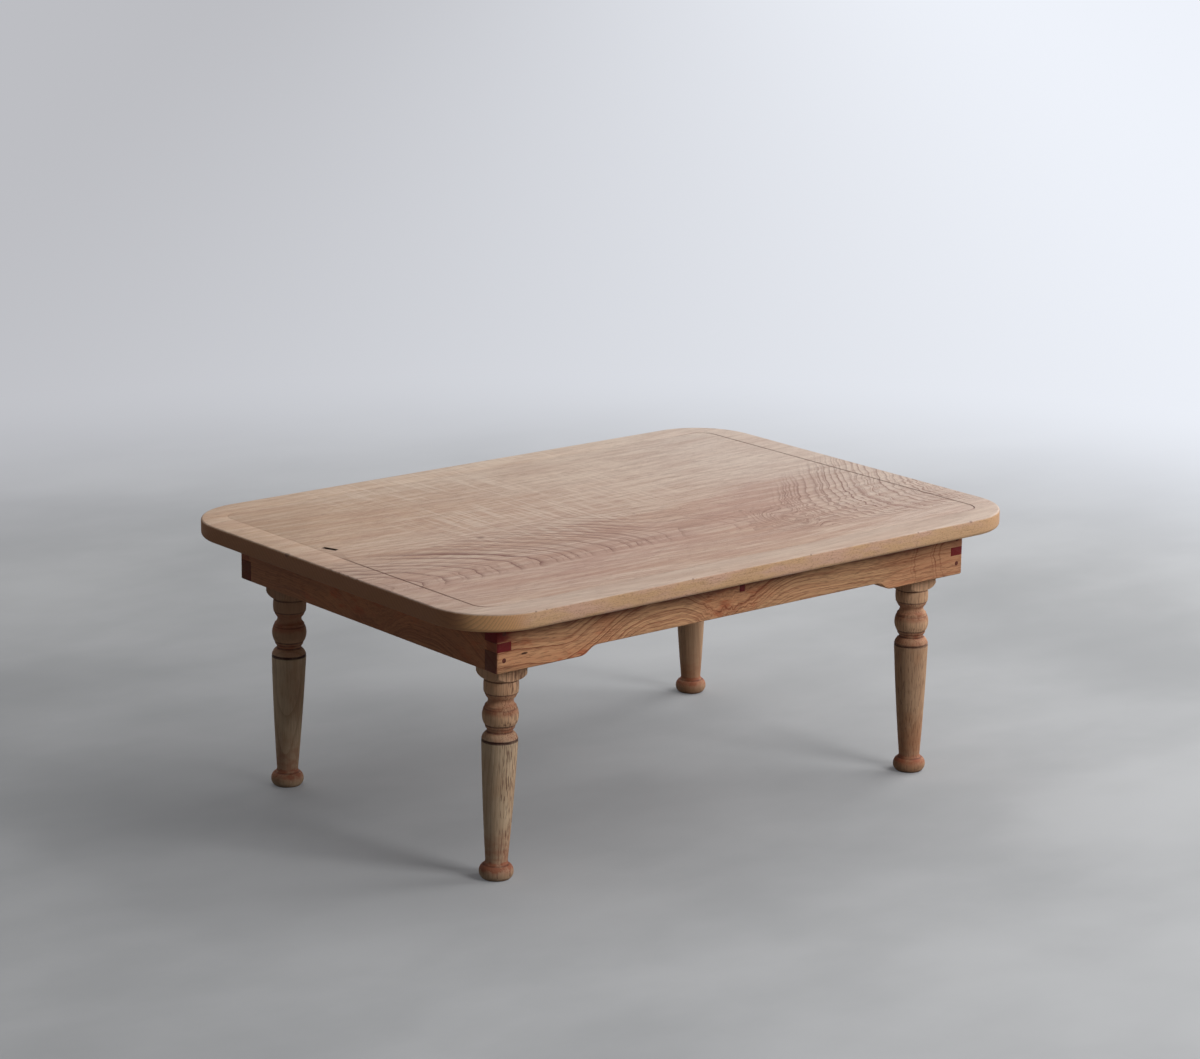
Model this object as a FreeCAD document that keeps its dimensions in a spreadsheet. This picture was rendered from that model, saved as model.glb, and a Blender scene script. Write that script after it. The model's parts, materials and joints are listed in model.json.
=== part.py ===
"""Folding low table: a slab top on a box-jointed apron frame, with turned legs that fold in under it.

Frame: millimetres, +Z up, origin on the floor under the middle of the top, +X along the length,
-Y to the front.
"""
import FreeCAD
import Part
import Sketcher
import math
import os
import re

# Driving sizes in millimetres, angles in degrees: name, value, what it measures.
SIZES = [
    ("top_length", 842, "top, along X"),
    ("top_width", 595, "top, along Y"),
    ("table_height", 336, "floor to the upper face of the top"),
    ("top_thickness", 21, "slab of the top"),
    ("top_corner_radius", 80, "corner of the top in plan"),
    ("top_edge_upper", 2.5, "round over the upper edge of the top"),
    ("top_edge_lower", 5, "round under the lower edge of the top"),
    ("line_inset", 38.5, "incised line, in from the edge of the top"),
    ("line_width", 2, "incised line"),
    ("line_depth", 1.2, "incised line"),
    ("line_corner_radius", 22, "outer corner of the incised line"),
    ("slot_length", 17, "slot through the top, along Y"),
    ("slot_width", 7, "slot through the top, along X"),
    ("slot_from_end", 53, "left end of the top to the middle of the slot"),
    ("slot_off_centre", 51.5, "middle of the top's width to the middle of the slot"),
    ("end_overhang", 62.5, "top past the short aprons"),
    ("side_overhang", 45.5, "top past the long aprons"),
    ("apron_depth", 59.5, "aprons at full depth"),
    ("long_apron_thickness", 22, "front and back aprons"),
    ("end_apron_thickness", 20, "left and right aprons"),
    ("apron_corner_radius", 3, "vertical corners of the apron frame"),
    ("apron_edge", 1.2, "chamfer along the lower edges of the aprons"),
    ("arch_rise", 10, "lower edge of a long apron, raised between its ends"),
    ("arch_foot", 118, "full-depth stretch at each end of a long apron"),
    ("ogee_run", 27, "length of the curve from full depth to the raised edge"),
    ("finger_height", 10.5, "middle finger of a corner joint"),
    ("corner_peg_diameter", 5.5, "round pegs in the corner joints"),
    ("corner_peg_offset", 10, "middle finger to the corner pegs above and below it"),
    ("corner_peg_grip", 24, "corner peg inside a short apron"),
    ("batten_width", 40, "centre batten, along X"),
    ("batten_depth", 25, "centre batten, below the top"),
    ("batten_edge", 3, "chamfer along the lower edges of the batten"),
    ("batten_peg_size", 8, "square pegs in the ends of the batten"),
    ("batten_peg_cover", 1.5, "wood under a batten peg"),
    ("batten_peg_grip", 28, "batten peg inside the batten"),
    ("screw_diameter", 4.5, "wood screws"),
    ("screw_head_diameter", 8.5, "wood screws"),
    ("screw_head_height", 3, "wood screws"),
    ("screw_bite", 14, "wood screw inside the top"),
    ("screw_hole_diameter", 9.5, "counterbore for a screw head"),
    ("apron_screw_seat", 20, "wood between an apron screw's head and the top"),
    ("batten_screw_recess", 5, "lower face of the batten to the seat of a screw head"),
    ("long_screw_spacing", 110, "between the screws of a long apron"),
    ("end_screw_spacing", 240, "between the screws of a short apron"),
    ("batten_screw_spacing", 90, "between the screws of the batten"),
    ("leg_billet", 42, "square head of a leg"),
    ("leg_lean", 1.45, "legs lean out at the foot, along X"),
    ("leg_top_gap", 2, "round head of a leg to the underside of the top"),
    ("leg_stop_gap", 0.3, "head of a standing leg to the short apron that stops it"),
    ("leg_side_gap", 1.2, "head of a leg to the long apron beside it"),
    ("leg_arris", 1, "chamfer along the edges of a leg's head"),
    ("leg_peg_diameter", 6, "pegs that pin the legs to their rail"),
    ("block_length", 57.5, "fold pivot to the shoulder below a leg's head"),
    ("shoulder_cut", 1.3, "shoulder, in from the flats of the head"),
    ("pommel_ease", 1, "rounded corner of the head, past the corner of the square"),
    ("pommel_swell", 2.4, "rounded corner of the head, bulge of its arc"),
    ("ankle_height", 21, "floor to the thinnest part of a leg"),
    ("foot_height", 16, "bun foot"),
    ("rail_size", 30, "square section of a cross rail"),
    ("rail_edge", 2.5, "chamfer along a cross rail"),
    ("tenon_diameter", 18, "round ends of a cross rail"),
    ("tenon_play", 0.05, "radial play of the round ends in the aprons"),
    ("tenon_end_gap", 0.5, "round end to the bottom of its hole"),
    ("pivot_hole_depth", 13, "hole for a round end in a long apron"),
    ("lock_width", 40, "lock bar"),
    ("lock_thickness", 14, "lock bar"),
    ("lock_edge", 2, "chamfer round the lock bar"),
    ("lock_gap", 0.6, "end of the turned lock bar to a cross rail"),
    ("lock_rest_angle", 25, "lock bar at rest, turned away from the rails"),
    ("lock_play", 0.2, "lock bar to the washers above and below it"),
    ("lock_bore_play", 0.05, "radial play of the lock bar on its screw"),
    ("lock_screw_diameter", 8, "shoulder of the lock screw"),
    ("lock_thread_diameter", 6, "lock screw inside the batten"),
    ("lock_thread_length", 20, "lock screw inside the batten"),
    ("lock_head_diameter", 15, "lock screw"),
    ("lock_head_height", 5, "lock screw"),
    ("lock_head_rim", 1.5, "straight rim of the lock screw's domed head"),
    ("lock_slot_width", 1.6, "slot in the lock screw's head"),
    ("lock_slot_depth", 2, "slot in the lock screw's head"),
    ("washer_diameter", 22, "washers of the lock bar"),
    ("washer_thickness", 1, "washers of the lock bar"),
]

# Turned mouldings of a leg from the shoulder down: name, length, cut in from the flats of the square head
# at the lower end, and swell of the arc between its ends (hollow if negative, straight if zero).
MOULDINGS = [
    ("shoulder_line", 0.8, 2.1, 0),
    ("barrel_rim", 0.7, 1.4, 0),
    ("barrel", 14.2, 1.5, 0.5),
    ("cup_rim", 0.6, 2.3, 0),
    ("cup", 6.6, 6, 0.7),
    ("upper_neck", 2.2, 6.6, 0),
    ("upper_cove", 5.8, 3.1, -0.8),
    ("bead_cap", 2.4, 2.8, 0),
    ("bead_rim", 0.5, 2.1, 0),
    ("bead", 18.7, 2.6, 2.1),
    ("bead_line", 0.5, 3.4, 0),
    ("bead_foot", 3.5, 4.2, 0),
    ("neck_flare", 3, 6.4, 0),
    ("lower_neck", 1.8, 6.4, 0),
    ("collar", 8.6, 0.3, 1.3),
    ("collar_line", 1.2, 1.8, 0),
    ("collar_rim", 1.2, 0.2, 0),
]
# Turned stretches below the mouldings, in the same terms, whose heights are measured from the floor.
LOWER_LEG = [
    ("taper", 8.2, 0.7),
    ("ankle_cove", 4.6, -1),
    ("foot", 6, 4.1),
]
for moulding, length, cut, swell in MOULDINGS:
    SIZES += [(moulding + "_length", length, "turned leg"), (moulding + "_cut", cut, "turned leg")]
    if swell:
        SIZES.append((moulding + "_swell", swell, "turned leg"))
for stretch, cut, swell in LOWER_LEG:
    SIZES += [(stretch + "_cut", cut, "turned leg"), (stretch + "_swell", swell, "turned leg")]
NAMES = {name for name, _, _ in SIZES}

doc = FreeCAD.newDocument("folding_low_table")
sizes = doc.addObject("Spreadsheet::Sheet", "sizes")
for row, (name, value, note) in enumerate(SIZES, start=1):
    sizes.set(f"A{row}", note)
    sizes.set(f"B{row}", str(value))
    sizes.setAlias(f"B{row}", name)
doc.recompute()

# Places that several pieces share, as expressions on the sheet.
UNDERSIDE = "(table_height - top_thickness)"
APRON_FOOT = f"({UNDERSIDE} - apron_depth)"
APRON_X = "(top_length / 2 - end_overhang)"
APRON_Y = "(top_width / 2 - side_overhang)"
INNER_Y = f"({APRON_Y} - long_apron_thickness)"
FINGER_MIDDLE = f"({UNDERSIDE} - apron_depth / 2)"
FINGER_LOW = f"({FINGER_MIDDLE} - finger_height / 2)"
FINGER_HIGH = f"({FINGER_MIDDLE} + finger_height / 2)"
PEG_HEIGHTS = (f"({FINGER_LOW} - corner_peg_offset)", f"({FINGER_HIGH} + corner_peg_offset)")
HALF_BILLET = "(leg_billet / 2)"
PIVOT_Z = f"({UNDERSIDE} - leg_top_gap - {HALF_BILLET})"
STOP_X = f"({APRON_X} - end_apron_thickness - leg_stop_gap)"
LEG_X = f"({STOP_X} - {HALF_BILLET} / cos(leg_lean) - ({PIVOT_Z} - {APRON_FOOT}) * tan(leg_lean))"
LEG_Y = f"({INNER_Y} - leg_side_gap - {HALF_BILLET})"
LEG_DROP = f"({PIVOT_Z} / cos(leg_lean))"
TENON_REACH = f"({INNER_Y} + pivot_hole_depth - tenon_end_gap)"
BATTEN_FOOT = f"({UNDERSIDE} - batten_depth)"
BATTEN_PEG_Z = f"({BATTEN_FOOT} + batten_peg_cover)"
APRON_SEAT = f"({UNDERSIDE} - apron_screw_seat)"
BATTEN_SEAT = f"({BATTEN_FOOT} + batten_screw_recess)"
LOCK_FOOT = f"({BATTEN_FOOT} - washer_thickness - lock_play - lock_thickness)"
LOCK_SEAT = f"({LOCK_FOOT} - lock_play - washer_thickness)"
LOCK_REACH = f"({LEG_X} - rail_size / 2 * (cos(leg_lean) + sin(leg_lean)) - lock_gap)"
LONG_SCREWS = [f"{step} * long_screw_spacing" for step in (-1.5, -0.5, 0.5, 1.5)]
END_SCREWS = [f"{step} * end_screw_spacing" for step in (-0.5, 0.5)]
BATTEN_SCREWS = [f"{step} * batten_screw_spacing" for step in (-1.5, -0.5, 0.5, 1.5)]
SIDES = (-1, 1)
X_AXIS = FreeCAD.Vector(1, 0, 0)
Y_AXIS = FreeCAD.Vector(0, 1, 0)
Z_AXIS = FreeCAD.Vector(0, 0, 1)
QUARTER_TURN = 90
HALF_TURN = 180
SAME_PLACE = 0.01  # edges this close, in millimetres, lie in one place
MOST_ROUND = 0.45  # largest edge round of the top, as a share of its thickness


def expression(text):
    """Turns bare size names into references to the sheet."""
    return re.sub(r"[a-z_]+", lambda word: f"sizes.{word[0]}" if word[0] in NAMES else word[0], text)


def number(text):
    """Value of an expression on the sheet."""
    return float(sizes.evalExpression(expression(text)))


def bind(item, prop, text):
    """Ties a property of an object to the sheet."""
    item.setExpression(prop, expression(text))


def place(item, x="0", y="0", z="0", axis=Z_AXIS, angle="0"):
    """Puts an object at a point and a turn that are tied to the sheet."""
    item.Placement = FreeCAD.Placement(FreeCAD.Vector(), FreeCAD.Rotation(axis, number(angle)))
    for name, text in (("Base.x", x), ("Base.y", y), ("Base.z", z), ("Rotation.Angle", angle)):
        if text != "0":
            bind(item, f"Placement.{name}", text)


def add_body(label):
    """An empty body whose label names its piece."""
    body = doc.addObject("PartDesign::Body", label)
    body.Label = label
    return body


def add_sketch(body, name, role, offset="0"):
    """A sketch on one of the body's own planes, moved along the plane's normal by an expression."""
    sketch = body.newObject("Sketcher::SketchObject", f"{body.Label}_{name}")
    plane = next(item for item in body.Origin.OriginFeatures if item.Role == role)
    sketch.AttachmentSupport = (plane, [""])
    sketch.MapMode = "FlatFace"
    if offset != "0":
        bind(sketch, "AttachmentOffset.Base.z", offset)
    return sketch


def tie_point(sketch, geometry, end, x, y):
    """Holds a point of a sketch at two expressions, measured from the sketch's origin."""
    for kind, axis, text in (("DistanceX", -2, x), ("DistanceY", -1, y)):
        if text == "0":
            sketch.addConstraint(Sketcher.Constraint("PointOnObject", geometry, end, axis))
        else:
            index = sketch.addConstraint(Sketcher.Constraint(kind, -1, 1, geometry, end, number(text)))
            bind(sketch, f"Constraints[{index}]", text)


def arc_through(start, middle, end):
    """An anticlockwise arc through three points, and whether it runs from start to end."""
    round_edge = Part.Arc(start, middle, end).toShape().Curve
    circle = Part.Circle(round_edge.Center, Z_AXIS, round_edge.Radius)
    spokes = [point - circle.Center for point in (start, middle, end)]
    first, via, last = [math.atan2(spoke.y, spoke.x) for spoke in spokes]
    forward = (via - first) % math.tau < (last - first) % math.tau
    if forward:
        return Part.ArcOfCircle(circle, first, last), forward
    return Part.ArcOfCircle(circle, last, first), forward


def add_outline(sketch, corners):
    """Closes an outline. A corner (x, y) is reached by a line, (x, y, via_x, via_y) by an arc through via."""
    points = [FreeCAD.Vector(number(corner[0]), number(corner[1]), 0) for corner in corners]
    pieces = []
    for index, corner in enumerate(corners):
        start = points[index - 1]
        end = points[index]
        forward = True
        if len(corner) == 2:
            piece = sketch.addGeometry(Part.LineSegment(start, end))
        else:
            via = FreeCAD.Vector(number(corner[2]), number(corner[3]), 0)
            arc, forward = arc_through(start, via, end)
            piece = sketch.addGeometry(arc)
            on_arc = sketch.addGeometry(Part.Point(via), True)
            tie_point(sketch, on_arc, 1, corner[2], corner[3])
            sketch.addConstraint(Sketcher.Constraint("PointOnObject", on_arc, 1, piece))
        pieces.append((piece, (1, 2) if forward else (2, 1)))
    for index, corner in enumerate(corners):
        piece, ends = pieces[index]
        following, following_ends = pieces[(index + 1) % len(pieces)]
        sketch.addConstraint(Sketcher.Constraint("Coincident", piece, ends[1], following, following_ends[0]))
        tie_point(sketch, piece, ends[1], corner[0], corner[1])


def add_rectangle(sketch, x_low, x_high, y_low, y_high):
    """A rectangle between four expressions."""
    add_outline(sketch, [(x_low, y_low), (x_high, y_low), (x_high, y_high), (x_low, y_high)])


def add_rounded_rectangle(sketch, half_x, half_y, radius):
    """A rounded rectangle about the sketch's origin."""
    inset = f"{radius} * (1 - sqrt(0.5))"
    corners = []
    for x, y in ((1, 1), (-1, 1), (-1, -1), (1, -1)):
        on_side = (f"{x} * {half_x}", f"{y} * ({half_y} - {radius})")
        on_end = (f"{x} * ({half_x} - {radius})", f"{y} * {half_y}")
        via = (f"{x} * ({half_x} - {inset})", f"{y} * ({half_y} - {inset})")
        first, last = (on_side, on_end) if x == y else (on_end, on_side)
        corners += [first, last + via]
    add_outline(sketch, corners)


def add_circle(sketch, x, y, diameter):
    """A circle about a point given by two expressions."""
    centre = FreeCAD.Vector(number(x), number(y), 0)
    piece = sketch.addGeometry(Part.Circle(centre, Z_AXIS, number(diameter) / 2))
    tie_point(sketch, piece, 3, x, y)
    index = sketch.addConstraint(Sketcher.Constraint("Diameter", piece, number(diameter)))
    bind(sketch, f"Constraints[{index}]", diameter)


def add_feature(body, kind, sketch, length=None, symmetric=False, reverse=False):
    """Pads or pockets a sketch by an expression, or right through where no length is given."""
    feature = body.newObject(f"PartDesign::{kind}", f"{sketch.Name}_{kind}")
    feature.Profile = sketch
    feature.Reversed = reverse
    if symmetric:
        feature.SideType = "Symmetric"
    if length:
        bind(feature, "Length", length)
    else:
        feature.Type = "ThroughAll"


def add_turned(body, kind, sketch):
    """Revolves a sketch about its own upright axis, to add or to cut."""
    feature = body.newObject(f"PartDesign::{kind}", f"{sketch.Name}_{kind}")
    feature.Profile = sketch
    feature.ReferenceAxis = (sketch, ["V_Axis"])


def soften(body, kind, prop, size, chosen):
    """Fillets or chamfers the edges of a body that a test picks."""
    doc.recompute()
    base = body.Tip
    names = [f"Edge{index}" for index, edge in enumerate(base.Shape.Edges, start=1) if chosen(edge)]
    feature = body.newObject(f"PartDesign::{kind}", f"{base.Name}_{kind}")
    feature.Base = (base, names)
    bind(feature, prop, size)


def edge_at(edge, axis, text):
    """True where all of an edge lies at one value along X, Y or Z of its body."""
    value = number(text)
    low = getattr(edge.BoundBox, f"{axis}Min")
    high = getattr(edge.BoundBox, f"{axis}Max")
    return math.isclose(low, value, abs_tol=SAME_PLACE) and math.isclose(high, value, abs_tol=SAME_PLACE)


def add_cylinder(name, diameter, height):
    """A round bar along its own Z."""
    bar = doc.addObject("Part::Cylinder", name)
    bind(bar, "Radius", f"{diameter} / 2")
    bind(bar, "Height", height)
    return bar


def group(label, items):
    """Several like solids that share one node."""
    whole = doc.addObject("Part::Compound", label)
    whole.Label = label
    whole.Links = items
    return whole


def screw_places():
    """Places of the screws in the table's frame, by the piece that they go through."""
    long_y = f"({APRON_Y} - long_apron_thickness / 2)"
    end_x = f"({APRON_X} - end_apron_thickness / 2)"
    aprons = [(x, f"{side} * {long_y}") for side in SIDES for x in LONG_SCREWS]
    aprons += [(f"{side} * {end_x}", y) for side in SIDES for y in END_SCREWS]
    return aprons, [("0", y) for y in BATTEN_SCREWS]


def cut_screw_holes(body, places, foot, seat):
    """Counterbores from below up to the seats, and holes for the shanks from there to the top."""
    bores = add_sketch(body, "screw_bores", "XY_Plane", foot)
    holes = add_sketch(body, "screw_holes", "XY_Plane", seat)
    for x, y in places:
        add_circle(bores, x, y, "screw_hole_diameter")
        add_circle(holes, x, y, "screw_diameter")
    add_feature(body, "Pocket", bores, f"{seat} - {foot}", reverse=True)
    add_feature(body, "Pocket", holes, f"{UNDERSIDE} - {seat}", reverse=True)


def make_screws(label, places, seat):
    """Wood screws driven up into the top, each with its head below the seat."""
    tip = f"({UNDERSIDE} + screw_bite - {seat})"
    screws = []
    for index, (x, y) in enumerate(places, start=1):
        screw = add_body(f"{label}_{index}")
        profile = add_sketch(screw, "profile", "XZ_Plane")
        add_outline(profile, [
            ("0", "-screw_head_height"),
            ("screw_head_diameter / 2", "-screw_head_height"),
            ("screw_head_diameter / 2", "0"),
            ("screw_diameter / 2", "0"),
            ("screw_diameter / 2", tip),
            ("0", tip),
        ])
        add_turned(screw, "Revolution", profile)
        place(screw, x, y, seat)
        screws.append(screw)
    return group(label, screws)


def make_top():
    """The slab, rounded over, with its incised line, its slot and the holes that the screws bite in."""
    top = add_body("top")
    outline = add_sketch(top, "outline", "XY_Plane")
    add_rounded_rectangle(outline, "(top_length / 2)", "(top_width / 2)", "top_corner_radius")
    add_feature(top, "Pad", outline, "top_thickness")
    upper_limit = f"min(top_edge_upper; top_thickness * {MOST_ROUND})"
    lower_limit = f"min(top_edge_lower; top_thickness * {MOST_ROUND})"
    soften(top, "Fillet", "Radius", upper_limit, lambda edge: edge_at(edge, "Z", "top_thickness"))
    soften(top, "Fillet", "Radius", lower_limit, lambda edge: edge_at(edge, "Z", "0"))
    line = add_sketch(top, "line", "XY_Plane", "top_thickness")
    for step in ("0", "line_width"):
        half_x = f"(top_length / 2 - line_inset - {step})"
        half_y = f"(top_width / 2 - line_inset - {step})"
        add_rounded_rectangle(line, half_x, half_y, f"(line_corner_radius - {step})")
    add_feature(top, "Pocket", line, "line_depth")
    slot = add_sketch(top, "slot", "XY_Plane")
    slot_x = "(slot_from_end - top_length / 2)"
    add_rectangle(slot, f"{slot_x} - slot_width / 2", f"{slot_x} + slot_width / 2",
                  "slot_off_centre - slot_length / 2", "slot_off_centre + slot_length / 2")
    add_feature(top, "Pocket", slot, reverse=True)
    pilots = add_sketch(top, "pilots", "XY_Plane")
    for places in screw_places():
        for x, y in places:
            add_circle(pilots, x, y, "screw_diameter")
    add_feature(top, "Pocket", pilots, "screw_bite", reverse=True)
    place(top, z=UNDERSIDE)
    return top


def long_apron_corners():
    """Outline of a long apron. An ogee of two equal arcs leads to each end of its raised lower edge."""
    raised = f"({APRON_FOOT} + arch_rise)"
    middle = f"({APRON_FOOT} + arch_rise / 2)"
    radius = "((ogee_run^2 + arch_rise^2) / (4 * arch_rise))"
    bow = f"({radius} - sqrt({radius}^2 - (ogee_run / 4)^2))"
    for sign in SIDES:
        full = f"{sign} * ({APRON_X} - arch_foot)"
        low = f"{sign} * ({APRON_X} - arch_foot - ogee_run / 4)"
        half = f"{sign} * ({APRON_X} - arch_foot - ogee_run / 2)"
        high = f"{sign} * ({APRON_X} - arch_foot - ogee_run * 3 / 4)"
        inner = f"{sign} * ({APRON_X} - arch_foot - ogee_run)"
        low_via = (low, f"{APRON_FOOT} + {bow}")
        high_via = (high, f"{raised} - {bow}")
        if sign < 0:
            left = [(full, APRON_FOOT), (half, middle) + low_via, (inner, raised) + high_via]
        else:
            right = [(inner, raised), (half, middle) + high_via, (full, APRON_FOOT) + low_via]
    ends = [(f"-{APRON_X}", UNDERSIDE), (f"-{APRON_X}", APRON_FOOT)]
    return ends + left + right + [(APRON_X, APRON_FOOT), (APRON_X, UNDERSIDE)]


def make_long_apron(label, side):
    """Front or back apron. In its own frame its outer face is at y = 0 and its thickness runs to +Y."""
    apron = add_body(label)
    outline = add_sketch(apron, "outline", "XZ_Plane")
    add_outline(outline, long_apron_corners())
    add_feature(apron, "Pad", outline, "long_apron_thickness", reverse=True)
    notches = add_sketch(apron, "notches", "XZ_Plane")
    for sign in SIDES:
        bounds = sorted((f"{sign} * {APRON_X}", f"{sign} * ({APRON_X} - end_apron_thickness)"), key=number)
        add_rectangle(notches, bounds[0], bounds[1], FINGER_LOW, FINGER_HIGH)
    add_feature(apron, "Pocket", notches)

    def rounded_corner(edge):
        upright = edge.BoundBox.XLength < edge.BoundBox.ZLength
        at_end = edge_at(edge, "X", APRON_X) or edge_at(edge, "X", f"-{APRON_X}")
        return upright and at_end and edge_at(edge, "Y", "0")

    def lower_edge(edge):
        below_fingers = edge.BoundBox.ZMax < number(FINGER_LOW) and edge.BoundBox.XLength > 0
        upright = edge_at(edge, "X", APRON_X) or edge_at(edge, "X", f"-{APRON_X}")
        on_face = edge_at(edge, "Y", "0") or edge_at(edge, "Y", "long_apron_thickness")
        return below_fingers and on_face and not upright

    soften(apron, "Fillet", "Radius", "apron_corner_radius", rounded_corner)
    soften(apron, "Chamfer", "Size", "apron_edge", lower_edge)
    holes = add_sketch(apron, "peg_holes", "XZ_Plane")
    pivots = add_sketch(apron, "pivots", "XZ_Plane", "-long_apron_thickness")
    for sign in SIDES:
        peg_x = f"{sign} * ({APRON_X} - end_apron_thickness / 2)"
        for height in PEG_HEIGHTS:
            add_circle(holes, peg_x, height, "corner_peg_diameter")
        add_circle(pivots, f"{sign} * {LEG_X}", PIVOT_Z, "(tenon_diameter + 2 * tenon_play)")
    add_rectangle(holes, "-batten_peg_size / 2", "batten_peg_size / 2",
                  BATTEN_PEG_Z, f"{BATTEN_PEG_Z} + batten_peg_size")
    add_feature(apron, "Pocket", holes)
    add_feature(apron, "Pocket", pivots, "pivot_hole_depth", reverse=True)
    places = [(x, "long_apron_thickness / 2") for x in LONG_SCREWS]
    cut_screw_holes(apron, places, APRON_FOOT, APRON_SEAT)
    place(apron, y=f"{side} * {APRON_Y}", angle="0" if side < 0 else str(HALF_TURN))
    return apron


def make_end_apron(label, side):
    """Left or right apron. In its own frame its outer face is at x = 0 and its thickness runs to +X."""
    apron = add_body(label)
    outline = add_sketch(apron, "outline", "YZ_Plane")
    near = [(f"-{INNER_Y}", UNDERSIDE), (f"-{INNER_Y}", FINGER_HIGH), (f"-{APRON_Y}", FINGER_HIGH),
            (f"-{APRON_Y}", FINGER_LOW), (f"-{INNER_Y}", FINGER_LOW), (f"-{INNER_Y}", APRON_FOOT)]
    far = [(y[1:], z) for y, z in reversed(near)]
    add_outline(outline, near + far)
    add_feature(apron, "Pad", outline, "end_apron_thickness")

    def rounded_corner(edge):
        at_end = edge_at(edge, "Y", APRON_Y) or edge_at(edge, "Y", f"-{APRON_Y}")
        return at_end and edge_at(edge, "X", "0")

    def lower_edge(edge):
        return edge_at(edge, "Z", APRON_FOOT) and edge.BoundBox.YLength > edge.BoundBox.XLength

    soften(apron, "Fillet", "Radius", "apron_corner_radius", rounded_corner)
    soften(apron, "Chamfer", "Size", "apron_edge", lower_edge)
    for sign, name in zip(SIDES, ("near_holes", "far_holes")):
        holes = add_sketch(apron, name, "XZ_Plane", f"{-sign} * {INNER_Y}")
        for height in PEG_HEIGHTS:
            add_circle(holes, "end_apron_thickness / 2", height, "corner_peg_diameter")
        add_feature(apron, "Pocket", holes, "corner_peg_grip", reverse=sign > 0)
    places = [("end_apron_thickness / 2", y) for y in END_SCREWS]
    cut_screw_holes(apron, places, APRON_FOOT, APRON_SEAT)
    place(apron, x=f"{side} * {APRON_X}", angle="0" if side < 0 else str(HALF_TURN))
    return apron


def make_corner_pegs():
    """Round pegs driven along Y through the fingers of the long aprons into the short ones."""
    pegs = []
    for index, height in enumerate(PEG_HEIGHTS):
        for x in SIDES:
            for y in SIDES:
                peg = add_cylinder(f"corner_peg_{index}_{x}_{y}", "corner_peg_diameter",
                                   "long_apron_thickness + corner_peg_grip")
                place(peg, f"{x} * ({APRON_X} - end_apron_thickness / 2)", f"{y} * {APRON_Y}", height,
                      X_AXIS, str(y * QUARTER_TURN))
                pegs.append(peg)
    return group("corner_pegs", pegs)


def make_batten():
    """Cross batten under the middle of the top, which the lock screw bites in."""
    batten = add_body("centre_batten")
    section = add_sketch(batten, "section", "XZ_Plane")
    half = "batten_width / 2"
    right = [(f"{half} - batten_edge", BATTEN_FOOT), (half, f"{BATTEN_FOOT} + batten_edge"),
             (half, UNDERSIDE)]
    add_outline(section, right + [(f"-({x})", z) for x, z in reversed(right)])
    add_feature(batten, "Pad", section, f"2 * {INNER_Y}", symmetric=True)
    for sign, name in zip(SIDES, ("near_hole", "far_hole")):
        hole = add_sketch(batten, name, "XZ_Plane", f"{-sign} * {INNER_Y}")
        add_rectangle(hole, "-batten_peg_size / 2", "batten_peg_size / 2",
                      BATTEN_PEG_Z, f"{BATTEN_PEG_Z} + batten_peg_size")
        add_feature(batten, "Pocket", hole, "batten_peg_grip", reverse=sign > 0)
    thread = add_sketch(batten, "thread", "XY_Plane", BATTEN_FOOT)
    add_circle(thread, "0", "0", "lock_thread_diameter")
    add_feature(batten, "Pocket", thread, "lock_thread_length", reverse=True)
    cut_screw_holes(batten, screw_places()[1], BATTEN_FOOT, BATTEN_SEAT)
    return batten


def make_batten_pegs():
    """Square pegs through the long aprons into the ends of the batten."""
    pegs = []
    for side, start in ((-1, f"-{APRON_Y}"), (1, f"{INNER_Y} - batten_peg_grip")):
        peg = doc.addObject("Part::Box", f"batten_peg_{side}")
        bind(peg, "Length", "batten_peg_size")
        bind(peg, "Width", "long_apron_thickness + batten_peg_grip")
        bind(peg, "Height", "batten_peg_size")
        place(peg, "-batten_peg_size / 2", start, BATTEN_PEG_Z)
        pegs.append(peg)
    return group("batten_pegs", pegs)


def turned_corner(name, radius, height, start_radius, start_height):
    """Lower end of a turned stretch, reached by an arc where the stretch has a swell."""
    if name + "_swell" not in NAMES:
        return (radius, height)
    via_radius = f"({start_radius} + {radius}) / 2 + {name}_swell"
    return (radius, height, via_radius, f"({start_height} + {height}) / 2")


def leg_profile_corners():
    """Turned outline of a leg below its head, from the axis at the shoulder down to the trimmed sole."""
    sole = f"(-{LEG_DROP} - {HALF_BILLET} * tan(leg_lean))"
    radius = f"({HALF_BILLET} - shoulder_cut)"
    height = "-block_length"
    corners = [("0", height), (radius, height)]
    stretches = [(name, None) for name, _, _, _ in MOULDINGS]
    lower_ends = (f"(ankle_height - {LEG_DROP})", f"(foot_height - {LEG_DROP})", sole)
    stretches += [(name, end) for (name, _, _), end in zip(LOWER_LEG, lower_ends)]
    for name, end in stretches:
        next_radius = f"({HALF_BILLET} - {name}_cut)"
        next_height = end or f"{height} - {name}_length"
        corners.append(turned_corner(name, next_radius, next_height, radius, height))
        radius = next_radius
        height = next_height
    return corners + [("0", sole)]


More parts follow.
